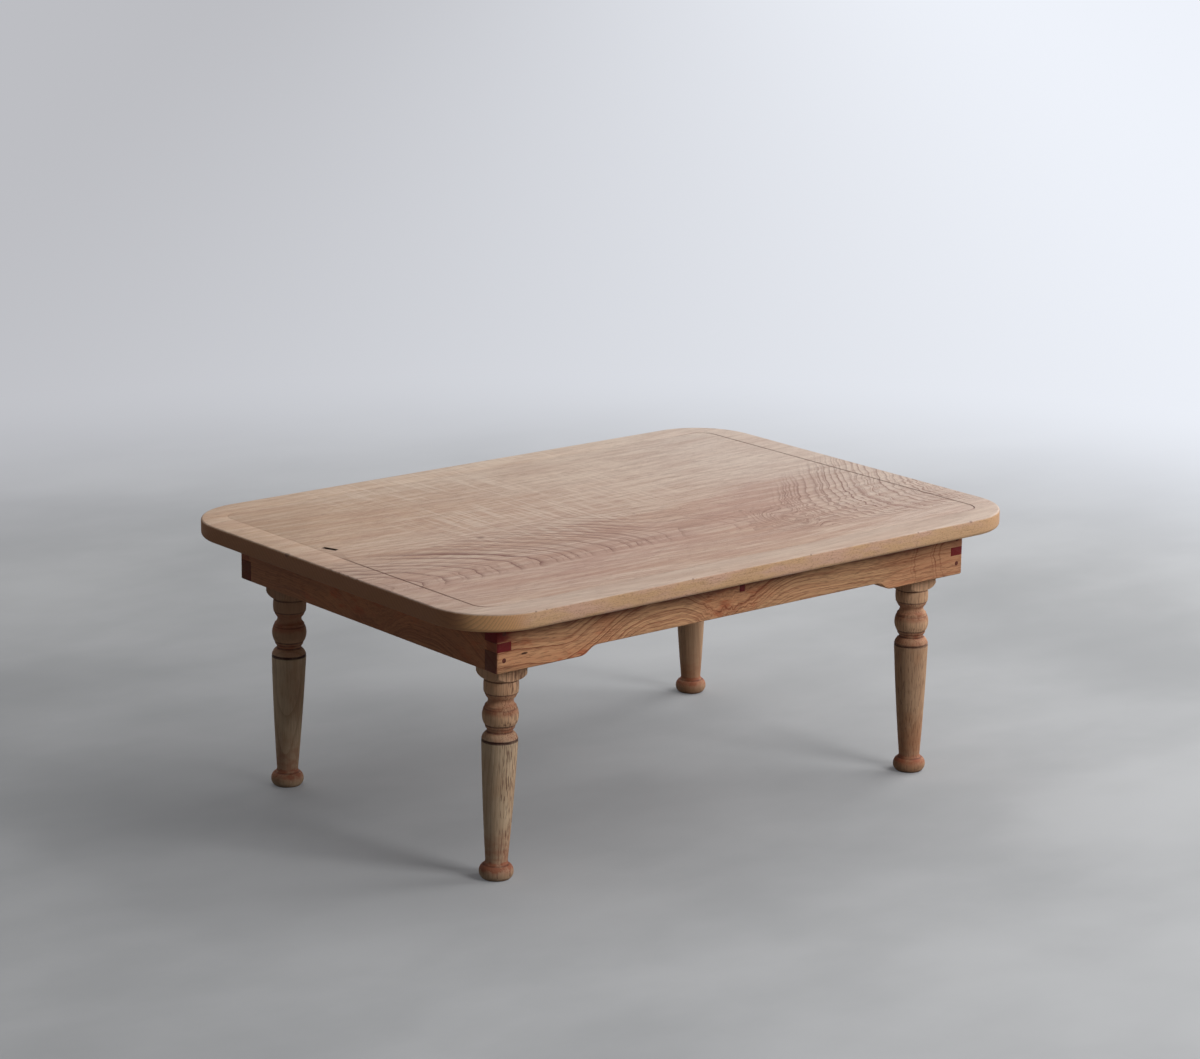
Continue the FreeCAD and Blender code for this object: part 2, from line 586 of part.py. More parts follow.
def make_leg(label, side_x, side_y):
    """A leg in the frame of its fold pivot. Its head is rounded about the pivot, its sole cut level."""
    leg = add_body(label)
    head = add_sketch(leg, "head", "XZ_Plane")
    half = HALF_BILLET
    add_outline(head, [(f"-{half}", "0", "0", half), (f"-{half}", "-block_length"), (half, "-block_length"),
                       (half, "0")])
    add_feature(leg, "Pad", head, "leg_billet", symmetric=True)

    def head_arris(edge):
        on_face = edge_at(edge, "Y", half) or edge_at(edge, "Y", f"-{half}")
        return on_face and not edge_at(edge, "Z", "-block_length")

    soften(leg, "Chamfer", "Size", "leg_arris", head_arris)
    pommels = add_sketch(leg, "pommels", "XZ_Plane")
    inner = f"({half} - shoulder_cut)"
    reach = f"({half} * sqrt(2) - {inner} + pommel_ease)"
    bulge = "pommel_swell * sqrt(0.5)"
    add_outline(pommels, [
        (inner, "-block_length", f"{inner} + {reach} / 2 + {bulge}", f"{reach} / 2 - block_length - {bulge}"),
        (inner, "-block_length - pommel_ease"),
        (f"{inner} + {reach}", "-block_length - pommel_ease"),
        (f"{inner} + {reach}", f"{reach} - block_length"),
    ])
    add_turned(leg, "Groove", pommels)
    profile = add_sketch(leg, "profile", "XZ_Plane")
    add_outline(profile, leg_profile_corners())
    add_turned(leg, "Revolution", profile)
    sole = add_sketch(leg, "sole", "XZ_Plane")
    slope = f"{-side_x} * leg_billet * tan(leg_lean)"
    below = f"-{LEG_DROP} - leg_billet"
    add_outline(sole, [("-leg_billet", f"-{LEG_DROP} - ({slope})"), ("-leg_billet", below),
                       ("leg_billet", below), ("leg_billet", f"-{LEG_DROP} + {slope}")])
    add_feature(leg, "Pocket", sole, "2 * leg_billet", symmetric=True)
    for role, diameter in (("XZ_Plane", "tenon_diameter"), ("YZ_Plane", "leg_peg_diameter")):
        bore = add_sketch(leg, f"bore_{diameter}", role)
        add_circle(bore, "0", "0", diameter)
        add_feature(leg, "Pocket", bore, "2 * leg_billet", symmetric=True)
    place(leg, f"{side_x} * {LEG_X}", f"{side_y} * {LEG_Y}", PIVOT_Z, Y_AXIS, f"{-side_x} * leg_lean")
    return leg


def make_rail(label, side):
    """Cross rail between two legs. Its round ends pass through the legs and turn in the long aprons."""
    rail = add_body(label)
    section = add_sketch(rail, "section", "XZ_Plane")
    flat = "(rail_size / 2 - rail_edge)"
    face = "(rail_size / 2)"
    corners = []
    for x, z in ((1, 1), (-1, 1), (-1, -1), (1, -1)):
        on_side = (f"{x} * {face}", f"{z} * {flat}")
        on_end = (f"{x} * {flat}", f"{z} * {face}")
        corners += [on_side, on_end] if x == z else [on_end, on_side]
    add_outline(section, corners)
    add_feature(rail, "Pad", section, f"2 * ({LEG_Y} - {HALF_BILLET})", symmetric=True)
    tenons = add_sketch(rail, "tenons", "XZ_Plane")
    add_circle(tenons, "0", "0", "tenon_diameter")
    add_feature(rail, "Pad", tenons, f"2 * {TENON_REACH}", symmetric=True)
    bores = add_sketch(rail, "peg_bores", "YZ_Plane")
    for sign in SIDES:
        add_circle(bores, f"{sign} * {LEG_Y}", "0", "leg_peg_diameter")
    add_feature(rail, "Pocket", bores, "2 * leg_billet", symmetric=True)
    place(rail, f"{side} * {LEG_X}", "0", PIVOT_Z, Y_AXIS, f"{-side} * leg_lean")
    return rail


def make_leg_pegs(label, side):
    """Round pegs across the heads of two legs, through the round ends of their rail."""
    pegs = []
    for y in SIDES:
        peg = add_cylinder(f"{label}_{y}", "leg_peg_diameter", "leg_billet")
        start_x = f"{side} * {LEG_X} - {HALF_BILLET} * cos(leg_lean)"
        start_z = f"{PIVOT_Z} - {side} * {HALF_BILLET} * sin(leg_lean)"
        place(peg, start_x, f"{y} * {LEG_Y}", start_z, Y_AXIS, f"{QUARTER_TURN} - {side} * leg_lean")
        pegs.append(peg)
    return group(label, pegs)


def make_lock_bar():
    """Bar that turns about the lock screw. Its ends are arcs about the screw, so that it swings clear."""
    bar = add_body("lock_bar")
    outline = add_sketch(bar, "outline", "XY_Plane")
    half = "(lock_width / 2)"
    corner = f"sqrt({LOCK_REACH}^2 - {half}^2)"
    add_outline(outline, [(f"-{corner}", f"-{half}", f"-{LOCK_REACH}", "0"), (corner, f"-{half}"),
                          (corner, half, LOCK_REACH, "0"), (f"-{corner}", half)])
    add_feature(bar, "Pad", outline, "lock_thickness")
    soften(bar, "Chamfer", "Size", "lock_edge", lambda edge: edge_at(edge, "Z", "0"))
    soften(bar, "Chamfer", "Size", "lock_edge", lambda edge: edge_at(edge, "Z", "lock_thickness"))
    bore = add_sketch(bar, "bore", "XY_Plane")
    add_circle(bore, "0", "0", "(lock_screw_diameter + 2 * lock_bore_play)")
    add_feature(bar, "Pocket", bore, reverse=True)
    place(bar, z=LOCK_FOOT, angle="lock_rest_angle")
    return bar


def make_lock_screw():
    """Shoulder screw with a domed, slotted head, driven up into the batten."""
    screw = add_body("lock_screw")
    profile = add_sketch(screw, "profile", "XZ_Plane")
    head = "(lock_head_diameter / 2)"
    dome = "(lock_head_height - lock_head_rim)"
    ball = f"(({head}^2 + {dome}^2) / (2 * {dome}))"
    dome_via = f"{ball} - lock_head_height - sqrt({ball}^2 - ({head} / 2)^2)"
    shoulder = f"({BATTEN_FOOT} - {LOCK_SEAT})"
    add_outline(profile, [
        ("0", "-lock_head_height"),
        (head, "-lock_head_rim", f"{head} / 2", dome_via),
        (head, "0"),
        ("lock_screw_diameter / 2", "0"),
        ("lock_screw_diameter / 2", shoulder),
        ("lock_thread_diameter / 2", shoulder),
        ("lock_thread_diameter / 2", f"{shoulder} + lock_thread_length"),
        ("0", f"{shoulder} + lock_thread_length"),
    ])
    add_turned(screw, "Revolution", profile)
    slot = add_sketch(screw, "slot", "XY_Plane", "-lock_head_height")
    add_rectangle(slot, f"-{head}", head, "-lock_slot_width / 2", "lock_slot_width / 2")
    add_feature(screw, "Pocket", slot, "lock_slot_depth", reverse=True)
    place(screw, z=LOCK_SEAT)
    return screw


def make_washers():
    """Flat washers on the lock screw, above and below the bar."""
    washers = []
    for name, seat in (("upper", f"{BATTEN_FOOT} - washer_thickness"), ("lower", LOCK_SEAT)):
        washer = add_body(f"{name}_washer")
        ring = add_sketch(washer, "ring", "XY_Plane")
        add_circle(ring, "0", "0", "washer_diameter")
        add_circle(ring, "0", "0", "lock_screw_diameter")
        add_feature(washer, "Pad", ring, "washer_thickness")
        place(washer, z=seat)
        washers.append(washer)
    return group("lock_washers", washers)


apron_places, batten_places = screw_places()
pieces = [
    make_top(),
    make_long_apron("front_apron", -1),
    make_long_apron("back_apron", 1),
    make_end_apron("left_apron", -1),
    make_end_apron("right_apron", 1),
    make_corner_pegs(),
    make_batten(),
    make_batten_pegs(),
    make_screws("apron_screws", apron_places, APRON_SEAT),
    make_screws("batten_screws", batten_places, BATTEN_SEAT),
]
for side_x, side in zip(SIDES, ("left", "right")):
    for side_y, end in zip(SIDES, ("front", "back")):
        pieces.append(make_leg(f"{end}_{side}_leg", side_x, side_y))
    pieces += [make_rail(f"{side}_rail", side_x), make_leg_pegs(f"{side}_leg_pegs", side_x)]
pieces += [make_lock_bar(), make_lock_screw(), make_washers()]
doc.recompute()

for item in doc.Objects:
    if "Invalid" in item.State or "Error" in item.State:
        raise RuntimeError(f"{item.Label} failed to build: {item.State}")
for piece in pieces:
    if piece.Shape.isNull() or not piece.Shape.isValid():
        raise RuntimeError(f"{piece.Label} has no valid shape")
os.makedirs("parts", exist_ok=True)
for piece in pieces:
    piece.Shape.exportStep(f"parts/{piece.Label}.step")
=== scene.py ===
import json
import math

import bmesh
import bpy
from mathutils import Matrix, Vector, noise

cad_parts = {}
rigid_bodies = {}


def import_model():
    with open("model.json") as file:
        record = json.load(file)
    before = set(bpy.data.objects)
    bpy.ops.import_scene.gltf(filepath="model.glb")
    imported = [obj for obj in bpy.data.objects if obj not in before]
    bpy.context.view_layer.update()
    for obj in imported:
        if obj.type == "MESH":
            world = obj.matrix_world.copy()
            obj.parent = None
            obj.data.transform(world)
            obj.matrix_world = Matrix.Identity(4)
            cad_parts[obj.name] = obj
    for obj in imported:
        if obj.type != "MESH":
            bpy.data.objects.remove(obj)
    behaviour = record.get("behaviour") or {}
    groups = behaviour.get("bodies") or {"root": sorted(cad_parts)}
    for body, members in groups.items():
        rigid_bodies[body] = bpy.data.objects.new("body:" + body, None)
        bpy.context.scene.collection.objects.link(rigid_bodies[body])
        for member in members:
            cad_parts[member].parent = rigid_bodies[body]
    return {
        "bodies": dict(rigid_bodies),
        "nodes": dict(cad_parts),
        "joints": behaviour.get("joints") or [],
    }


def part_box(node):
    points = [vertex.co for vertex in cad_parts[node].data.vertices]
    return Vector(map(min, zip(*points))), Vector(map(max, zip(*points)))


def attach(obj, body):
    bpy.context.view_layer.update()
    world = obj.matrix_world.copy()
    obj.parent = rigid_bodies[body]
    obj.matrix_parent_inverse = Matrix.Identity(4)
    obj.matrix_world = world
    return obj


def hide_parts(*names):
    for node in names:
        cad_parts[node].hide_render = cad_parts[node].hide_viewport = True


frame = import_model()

for spare in set(bpy.data.objects) - set(frame["nodes"].values()) - set(frame["bodies"].values()):
    bpy.data.objects.remove(spare)
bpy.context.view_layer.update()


# The apron frame is four boards of ring-porous hardwood, sawn, planed and box-jointed: at each corner one
# finger of an end board lies between two fingers of a long board. The old finish is stripped off, so the wood
# is bare and dry, and only the thirsty end grain and the corners have kept the red of the old stain.
class Measure:
    """A measure taken over a piece: a node socket that is reckoned with as a number is."""

    def __init__(self, tree, socket):
        self.tree = tree
        self.socket = socket

    def node(self, kind, settings, sockets, output=0):
        """Adds a node: its settings first, then the values or links of its sockets."""
        made = self.tree.nodes.new(kind)
        for name, value in settings.items():
            setattr(made, name, value)
        for key, value in sockets.items():
            if isinstance(value, Measure):
                self.tree.links.new(value.socket, made.inputs[key])
            else:
                made.inputs[key].default_value = value
        return Measure(self.tree, made.outputs[output])

    def math(self, operation, *values):
        """Adds a Math node that works on measures or numbers."""
        return self.node("ShaderNodeMath", {"operation": operation}, dict(enumerate(values)))

    def __add__(self, other):
        return self.math("ADD", self, other)

    def __sub__(self, other):
        return self.math("SUBTRACT", self, other)

    def __rsub__(self, other):
        return self.math("SUBTRACT", other, self)

    def __mul__(self, other):
        return self.math("MULTIPLY", self, other)

    def __truediv__(self, other):
        return self.math("DIVIDE", self, other)

    def __pow__(self, other):
        return self.math("POWER", self, other)

    def __abs__(self):
        return self.math("ABSOLUTE", self)

    __radd__ = __add__
    __rmul__ = __mul__


def paint(red, green, blue):
    """A colour as it looks on a screen, 0 to 255, in the linear values that a shader takes."""
    levels = [level / 255 for level in (red, green, blue)]
    linear = [level / 12.92 if level < 0.04 else ((level + 0.055) / 1.055) ** 2.4 for level in levels]
    return (*linear, 1.0)


def bare_finish(name):
    """A new material and the place on a piece that its pattern is laid out from: whole, and as x, y, z."""
    material = bpy.data.materials.new(name)
    material.use_nodes = True
    tree = material.node_tree
    place = Measure(tree, tree.nodes.new("ShaderNodeTexCoord").outputs["Object"])
    axes = [place.node("ShaderNodeSeparateXYZ", {}, {"Vector": place}, output) for output in range(3)]
    return material, place, axes


def rise(measure, low, high):
    """0 below low, 1 above high and a soft step between them; falls where low is above high."""
    sockets = {"Value": measure, "From Min": low, "From Max": high}
    return measure.node("ShaderNodeMapRange", {"interpolation_type": "SMOOTHSTEP"}, sockets)


def flecks(place, per_metre, detail=2.0, seed=0.0):
    """Uneven growth between 0 and 1, with so many flecks to the metre along x, y and z."""
    shifted = {"Vector": place, "Location": (seed, seed * 1.7, seed * 0.6), "Scale": per_metre}
    spread = place.node("ShaderNodeMapping", {}, shifted)
    return place.node("ShaderNodeTexNoise", {}, {"Vector": spread, "Scale": 1.0, "Detail": detail})


def stained(share, under, over):
    """The colour under, turned into the colour over by a share from 0 to 1."""
    return share.node("ShaderNodeMix", {"data_type": "RGBA"}, {0: share, 6: under, 7: over}, 2)


def finish_with(material, colour, roughness, relief, depth):
    """Closes a wood finish: bare and dull, with pores and scratches of so many metres in depth."""
    shader = material.node_tree.nodes["Principled BSDF"]
    shader.inputs["Specular IOR Level"].default_value = 0.3
    sockets = {"Strength": 1.0, "Distance": depth, "Height": relief}
    normal = relief.node("ShaderNodeBump", {}, sockets)
    for name, measure in (("Base Color", colour), ("Roughness", roughness), ("Normal", normal)):
        material.node_tree.links.new(measure.socket, shader.inputs[name])
    return material


def grain_stretch(along, run, across):
    """Flecks to the metre, few along the grain and many across it."""
    return tuple(run if axis == along else across for axis in range(3))


def distance(first, second):
    """Length of the line whose parts at a right angle are the two measures."""
    square = first * first + second * second
    return square ** 0.5


def apron_lines(place, run, height, across, wobble):
    """Ring lines that climb over a dome from the left end, dip at the middle and run on to the right."""
    sway, ripple, jag = wobble
    dome_foot, dome_top = -0.27, -0.135
    dip_start, dip_end, level_again = -0.095, -0.03, 0.09
    hollow = rise(abs(run + 0.272), 0.07, 0.0)
    climb = rise(run, dome_foot, dome_top) * 0.045 - hollow * 0.006
    climb = climb - rise(run, dip_start, dip_end) * 0.027 + rise(run, dip_end, level_again) * 0.034
    knotty = rise(abs(run + 0.02), 0.06, 0.015)
    ring = height - climb + abs(across) * 0.6
    ring = ring + sway * 0.016 + ripple * 0.006 + jag * knotty * 0.018
    contour = place.node("ShaderNodeCombineXYZ", {}, {"X": run, "Y": ring})
    uneven = flecks(contour, (3.0, 42.0, 1.0), 1.0, 19.0) - 0.5
    rings = ring * 115.0 + uneven * 4.4
    early = rings.math("FRACT", rings)
    weight = rise(flecks(contour, (7.0, 75.0, 1.0), 1.0, 29.0), 0.34, 0.62)
    clear = rise(run, 0.11, 0.05) * 0.9 + 0.1 + rise(run, -0.08, -0.2) * 0.4
    lines = (early ** 7.0 * (0.08 + weight * 0.92) + early ** 2.2 * 0.25) * clear
    fine = rise(flecks(contour, (9.0, 520.0, 1.0), 2.0, 31.0), 0.3, 0.7)
    return lines, weight, fine


def apron_finish(name, along, hand, pale, dark, bold, end, red_wood, gashes=()):
    """Bare apron wood, its grain along one axis: ring lines, arcs at the far end, a dark upper edge that is
    old stain and painted shade under the slab.
    """
    material, place, axes = bare_finish(name)
    run = axes[along] * hand
    height = axes[2]
    sway = flecks(place, grain_stretch(along, 6.0, 12.0), 1.0, 3.0) - 0.5
    ripple = flecks(place, grain_stretch(along, 26.0, 60.0), 2.0, 7.0) - 0.5
    jag = flecks(place, (120.0, 120.0, 120.0), 2.0, 5.0) - 0.5
    lines, weight, fine = apron_lines(place, run, height, axes[1 - along], (sway, ripple, jag))
    arcs_run, arcs_height = 0.343, 0.279
    from_end = distance(run - arcs_run, (height - arcs_height) * 0.8) + ripple * 0.016 + jag * 0.005
    for radius, share in ((0.024, 0.8), (0.032, 1.0), (0.037, 0.5), (0.066, 0.8), (0.071, 0.4)):
        lines = lines + rise(abs(from_end - radius), 0.0016, 0.0004) * (0.4 + weight * 0.6) * share
    lines = lines * bold
    thin = rise(fine, 0.35, 0.1) * bold
    pores = rise(flecks(place, grain_stretch(along, 80.0, 1300.0), 1.0, 17.0), 0.55, 0.68)
    warmth = rise(flecks(place, grain_stretch(along, 9.0, 26.0), 2.0, 23.0), 0.42, 0.68)
    blotch = rise(flecks(place, grain_stretch(along, 40.0, 90.0), 3.0, 53.0), 0.5, 0.66)
    colour = stained(fine, dark, pale)
    colour = stained(warmth * 0.5, colour, paint(208, 140, 98))
    colour = stained(blotch * warmth * 0.65, colour, paint(190, 98, 62))
    colour = stained(rise(from_end, 0.14, 0.03) * 0.5, colour, paint(168, 108, 76))
    colour = stained(thin * 0.3, colour, paint(154, 90, 60))
    colour = stained(lines.math("MINIMUM", lines * 0.75, 0.8), colour, paint(132, 66, 42))
    colour = stained(pores * 0.35, colour, paint(116, 70, 46))
    # A dark red-brown band along the top of the board, under the slab: partly old stain, partly painted shade
    # from the slab's overhang.
    stain_and_shade_under_slab = rise(height + ripple * 0.016 + sway * 0.016 - run * 0.008, 0.291, 0.302)
    colour = stained(stain_and_shade_under_slab * 0.72, colour, paint(100, 46, 36))
    sawn_end = rise(abs(run), end - 0.0014, end - 0.0006)
    colour = stained(sawn_end * 0.85, colour, paint(92, 46, 38))
    colour = stained(red_wood(place, axes), colour, paint(122, 30, 32))
    for gash_run, gash_height, half_run, half_height in gashes:
        gash = distance((run - gash_run) / half_run, (height - gash_height) / half_height)
        colour = stained(rise(gash, 1.3, 0.7) * 0.9, colour, paint(48, 22, 18))
    roughness = 0.66 + fine * 0.14 + lines * 0.06
    return finish_with(material, colour, roughness, fine * 0.5 - pores - lines * 0.5, 0.0003)


apron_low, apron_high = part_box("front_apron")
long_end = apron_high.x
short_end = -apron_low.y
finger_length = apron_high.y - apron_low.y
finger_height = 0.0105
upper_finger = (apron_low.z + apron_high.z + finger_height) / 2


def long_red_wood(place, axes):
    """Old red on a long board: most on the left upper fingers, and a trace on the ends of all of them."""
    seep = flecks(place, (60.0, 60.0, 110.0), 2.0, 29.0)
    from_middle = abs(axes[0])
    upper = rise(axes[2], upper_finger - 0.0005, upper_finger + 0.002)
    upper = upper * rise(from_middle + seep * 0.03, long_end - 0.0145, long_end + 0.0095)
    upper = upper * (0.3 + rise(axes[0], 0.1, -0.1) * 0.7)
    ends = rise(from_middle, long_end - 0.003, long_end - 0.0002) * rise(seep, 0.45, 0.75) * 0.4
    mixed = upper * 0.9 + ends
    return mixed.math("MINIMUM", mixed, 0.9)


def end_red_wood(place, axes):
    """Old red on an end board: the sawn ends of its middle fingers, and a little of it on their faces."""
    seep = flecks(place, (90.0, 50.0, 110.0), 2.0, 29.0)
    from_middle = abs(axes[1])
    finger_start = short_end - finger_length
    faces = rise(from_middle, finger_start + 0.002, finger_start + 0.005) * 0.4
    return faces + rise(from_middle, short_end - 0.0015, short_end - 0.0004) * (0.4 + seep * 0.3)


smooth_below = math.radians(38)


def worked_copy(node, body, ease, finish):
    """A CAD piece with its sawn arrises eased, its curves smooth and a finish of its own."""
    shape = bmesh.new()
    shape.from_mesh(frame["nodes"][node].data)
    bmesh.ops.remove_doubles(shape, verts=shape.verts, dist=1e-6)
    bmesh.ops.dissolve_limit(shape, angle_limit=math.radians(0.4), verts=shape.verts, edges=shape.edges)
    bmesh.ops.recalc_face_normals(shape, faces=shape.faces)
    if ease:
        shortest = 0.004
        sharp = math.radians(50)
        long_edges = [edge for edge in shape.edges if edge.calc_length() > shortest]
        arrises = [edge for edge in long_edges if edge.calc_face_angle(0) > sharp]
        bmesh.ops.bevel(shape, geom=arrises, offset=ease, segments=2, profile=0.6, affect="EDGES")
    mesh = bpy.data.meshes.new(node + "_worked")
    shape.to_mesh(mesh)
    shape.free()
    mesh.shade_smooth()
    mesh.set_sharp_from_angle(angle=smooth_below)
    mesh.materials.clear()
    mesh.materials.append(finish)
    piece = bpy.data.objects.new(node + "_worked", mesh)
    bpy.context.scene.collection.objects.link(piece)
    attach(piece, body)
    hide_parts(node)


gash_by_peg = (-0.32, 0.2737, 0.0045, 0.0012)
front_board = apron_finish("front_apron_bare_wood", along=0, hand=1, bold=1.0, end=long_end,
                           pale=paint(224, 174, 130), dark=paint(200, 147, 108),
                           red_wood=long_red_wood, gashes=[gash_by_peg])
back_board = apron_finish("back_apron_bare_wood", along=0, hand=-1, bold=1.0, end=long_end,
                          pale=paint(222, 172, 128), dark=paint(198, 145, 106), red_wood=long_red_wood)
# The end boards are painted darker than the long boards, with fainter ring lines: partly a darker wood tone,
# partly painted shade, matched to the left end board in the table's shade.
end_board_tone_and_shade = apron_finish("end_apron_wood_and_painted_shade", along=1, hand=1, bold=0.2, end=short_end,
                         pale=paint(186, 130, 95), dark=paint(160, 104, 74), red_wood=end_red_wood)
for node, finish in (("front_apron", front_board), ("back_apron", back_board),
                     ("left_apron", end_board_tone_and_shade), ("right_apron", end_board_tone_and_shade)):
    worked_copy(node, "frame", 0.0007, finish)


# Round pegs of dense dark wood pin the corner joints. They are driven into bored holes, two to a corner, and
# pared off almost flush, so each end stands proud as a low dome of end grain.
def end_grain_finish(name, dark, pale):
    """Oiled end grain of a peg: specks of pores in a dark ground."""
    material, place, _ = bare_finish(name)
    specks = flecks(place, (900.0, 900.0, 900.0), 2.0, 5.0)
    cloud = flecks(place, (120.0, 120.0, 120.0), 2.0, 9.0)
    colour = stained(rise(specks, 0.42, 0.68), dark, pale)
    colour = stained(rise(cloud, 0.45, 0.7) * 0.5, colour, paint(58, 26, 20))
    return finish_with(material, colour, 0.5 + specks * 0.25, specks, 0.0002)


def new_tree(name, sizes):
    """An empty geometry tree with named inputs, as measures, and the socket that its result goes to."""
    tree = bpy.data.node_groups.new(name, "GeometryNodeTree")
    tree.interface.new_socket("Geometry", in_out="INPUT", socket_type="NodeSocketGeometry")
    for label, kind in sizes:
        tree.interface.new_socket(label, in_out="INPUT", socket_type="NodeSocket" + kind)
    tree.interface.new_socket("Geometry", in_out="OUTPUT", socket_type="NodeSocketGeometry")
    inputs = tree.nodes.new("NodeGroupInput")
    result = tree.nodes.new("NodeGroupOutput")
    return tree, {label.name: Measure(tree, label) for label in inputs.outputs}, result.inputs["Geometry"]


def close_tree(shape, finish, result):
    """Ends a geometry tree: real meshes instead of instances, each with its finish."""
    shape = shape.node("GeometryNodeRealizeInstances", {}, {"Geometry": shape})
    shape = shape.node("GeometryNodeSetMaterial", {}, {"Geometry": shape, "Material": finish})
    shape.tree.links.new(shape.socket, result)


def run_tree(name, start, tree, sizes):
    """Runs a geometry tree on a mesh of points and keeps the result as a plain mesh."""
    piece = bpy.data.objects.new(name, start)
    bpy.context.scene.collection.objects.link(piece)
    maker = piece.modifiers.new("maker", "NODES")
    maker.node_group = tree
    for item in tree.interface.items_tree:
        if item.in_out == "INPUT" and item.name in sizes:
            maker[item.identifier] = sizes[item.name]
    bpy.context.view_layer.update()
    graph = bpy.context.evaluated_depsgraph_get()
    mesh = bpy.data.meshes.new_from_object(piece.evaluated_get(graph))
    piece.modifiers.clear()
    piece.data = mesh
    mesh.name = name
    mesh.shade_smooth()
    mesh.set_sharp_from_angle(angle=smooth_below)
    return piece


def points_mesh(name, points, edges=()):
    """A mesh of bare points, joined by edges where a tree runs along them."""
    mesh = bpy.data.meshes.new(name)
    mesh.from_pydata(points, edges, ())
    return mesh


def peg_tree():
    """Pegs at points on the front and back faces: a round bar with a low dome on its outer end."""
    sizes = [("Radius", "Float"), ("Length", "Float"), ("Dome", "Float"), ("Finish", "Material")]
    tree, size, result = new_tree("corner_peg_row", sizes)
    bar = size["Radius"].node("GeometryNodeMeshCylinder", {}, {
        "Vertices": 24, "Fill Segments": 4, "Radius": size["Radius"], "Depth": size["Length"]})
    spot = bar.node("GeometryNodeInputPosition", {}, {})
    x, y, z = [spot.node("ShaderNodeSeparateXYZ", {}, {"Vector": spot}, output) for output in range(3)]
    swell = (1 - (x * x + y * y) / (size["Radius"] * size["Radius"])) * size["Dome"] * z.math("SIGN", z)
    sunk = swell.math("MAXIMUM", swell, 0.0) - size["Length"] / 2
    sunk = sunk.node("ShaderNodeCombineXYZ", {}, {"Z": sunk})
    bar = bar.node("GeometryNodeSetPosition", {}, {"Geometry": bar, "Offset": sunk})
    side = spot.math("SIGN", y)
    turn = side.node("ShaderNodeCombineXYZ", {}, {"X": side * (-math.pi / 2)})
    pegs = bar.node("GeometryNodeInstanceOnPoints", {}, {
        "Points": size["Geometry"], "Instance": bar, "Rotation": turn})
    close_tree(pegs, size["Finish"], result)
    return tree


peg_low, peg_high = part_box("corner_pegs")
peg_radius = 0.00275
peg_x = peg_high.x - peg_radius
peg_face = peg_high.y
peg_heights = (peg_low.z + peg_radius, peg_high.z - peg_radius)
peg_places = [(x, y, z) for x in (-peg_x, peg_x) for y in (-peg_face, peg_face) for z in peg_heights]
peg_finish = end_grain_finish("peg_end_grain", paint(92, 42, 32), paint(126, 66, 48))
pegs = run_tree("corner_pegs_driven", points_mesh("corner_peg_places", peg_places), peg_tree(), {
    "Radius": peg_radius, "Length": 0.04, "Dome": 0.0003, "Finish": peg_finish})
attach(pegs, "frame")
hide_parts("corner_pegs")


# The batten crosses under the middle of the top from apron to apron and keeps the slab flat. It is a plain
# hardwood bar, left rough from the saw where nobody looks. A square peg is driven into each end of it
# through the apron.
def inner_finish(name, along):
    """Sawn wood out of sight: dull, dusty brown, with saw marks across the grain."""
    material, place, _ = bare_finish(name)
    streaks = flecks(place, grain_stretch(along, 6.0, 300.0), 2.0, 13.0)
    pores = rise(flecks(place, grain_stretch(along, 60.0, 1300.0), 1.0, 19.0), 0.56, 0.7)
    dust = flecks(place, (14.0, 14.0, 14.0), 3.0, 31.0)
    marks = flecks(place, grain_stretch(along, 420.0, 8.0), 1.0, 37.0)
    colour = stained(streaks, paint(132, 96, 68), paint(164, 126, 94))
    colour = stained(pores * 0.4, colour, paint(82, 54, 38))
    colour = stained(rise(dust, 0.45, 0.72) * 0.4, colour, paint(150, 132, 112))
    return finish_with(material, colour, 0.72 + streaks * 0.18, streaks * 0.4 + marks * 0.5 - pores, 0.0003)


worked_copy("centre_batten", "frame", 0.0006, inner_finish("batten_sawn_wood", along=1))
square_peg_finish = end_grain_finish("square_peg_end_grain", paint(108, 30, 30), paint(130, 46, 40))
worked_copy("batten_pegs", "frame", 0.0005, square_peg_finish)


# The top is one wide slab of hardwood, flat-sawn, with rounded corners, eased edges and a fine line incised
# all round it. The stripped face is pinkish brown, with flames of grain in its front half and a painted
# greyish sheen to the right, and its edge is yellower, partly because it lacks that painted sheen. A small
# slot is chopped through it near the left end, a little askew, its walls painted in shade.
top_low, top_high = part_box("top")
half_length = top_high.x
half_width = top_high.y
corner_radius = 0.080
upper_round = 0.0025
lower_round = 0.005
line_inset = 0.0385
line_width = 0.002
line_depth = 0.0008
line_corner = 0.022
line_lip = 0.0003
line_slope = 0.0007
slot_x, slot_y = -0.368, 0.0515
slot_half_width = 0.0029
slot_half_length = 0.0095
slot_turn = math.radians(20)
saddle_x = 0.05


def slab_outline(inset, radius, steps=22, run=14):
    """Points round a rectangle with round corners, as many for every inset."""
    points = []
    reach_x = half_length - inset - radius
    reach_y = half_width - inset - radius
    corners = [(1, 1, 0), (-1, 1, 1), (-1, -1, 2), (1, -1, 3)]
    for side_x, side_y, quarter in corners:
        for step in range(steps + 1):
            angle = (quarter + step / steps) * math.pi / 2
            points.append((side_x * reach_x + radius * math.cos(angle),
                           side_y * reach_y + radius * math.sin(angle)))
        start = points[-1]
        next_x, next_y, next_quarter = corners[(quarter + 1) % 4]
        end = (next_x * reach_x + radius * math.cos(next_quarter * math.pi / 2),
               next_y * reach_y + radius * math.sin(next_quarter * math.pi / 2))
        count = run * 3 if abs(end[0] - start[0]) > abs(end[1] - start[1]) else run * 2
        for step in range(1, count):
            share = step / count
            points.append((start[0] + (end[0] - start[0]) * share, start[1] + (end[1] - start[1]) * share))
    return points


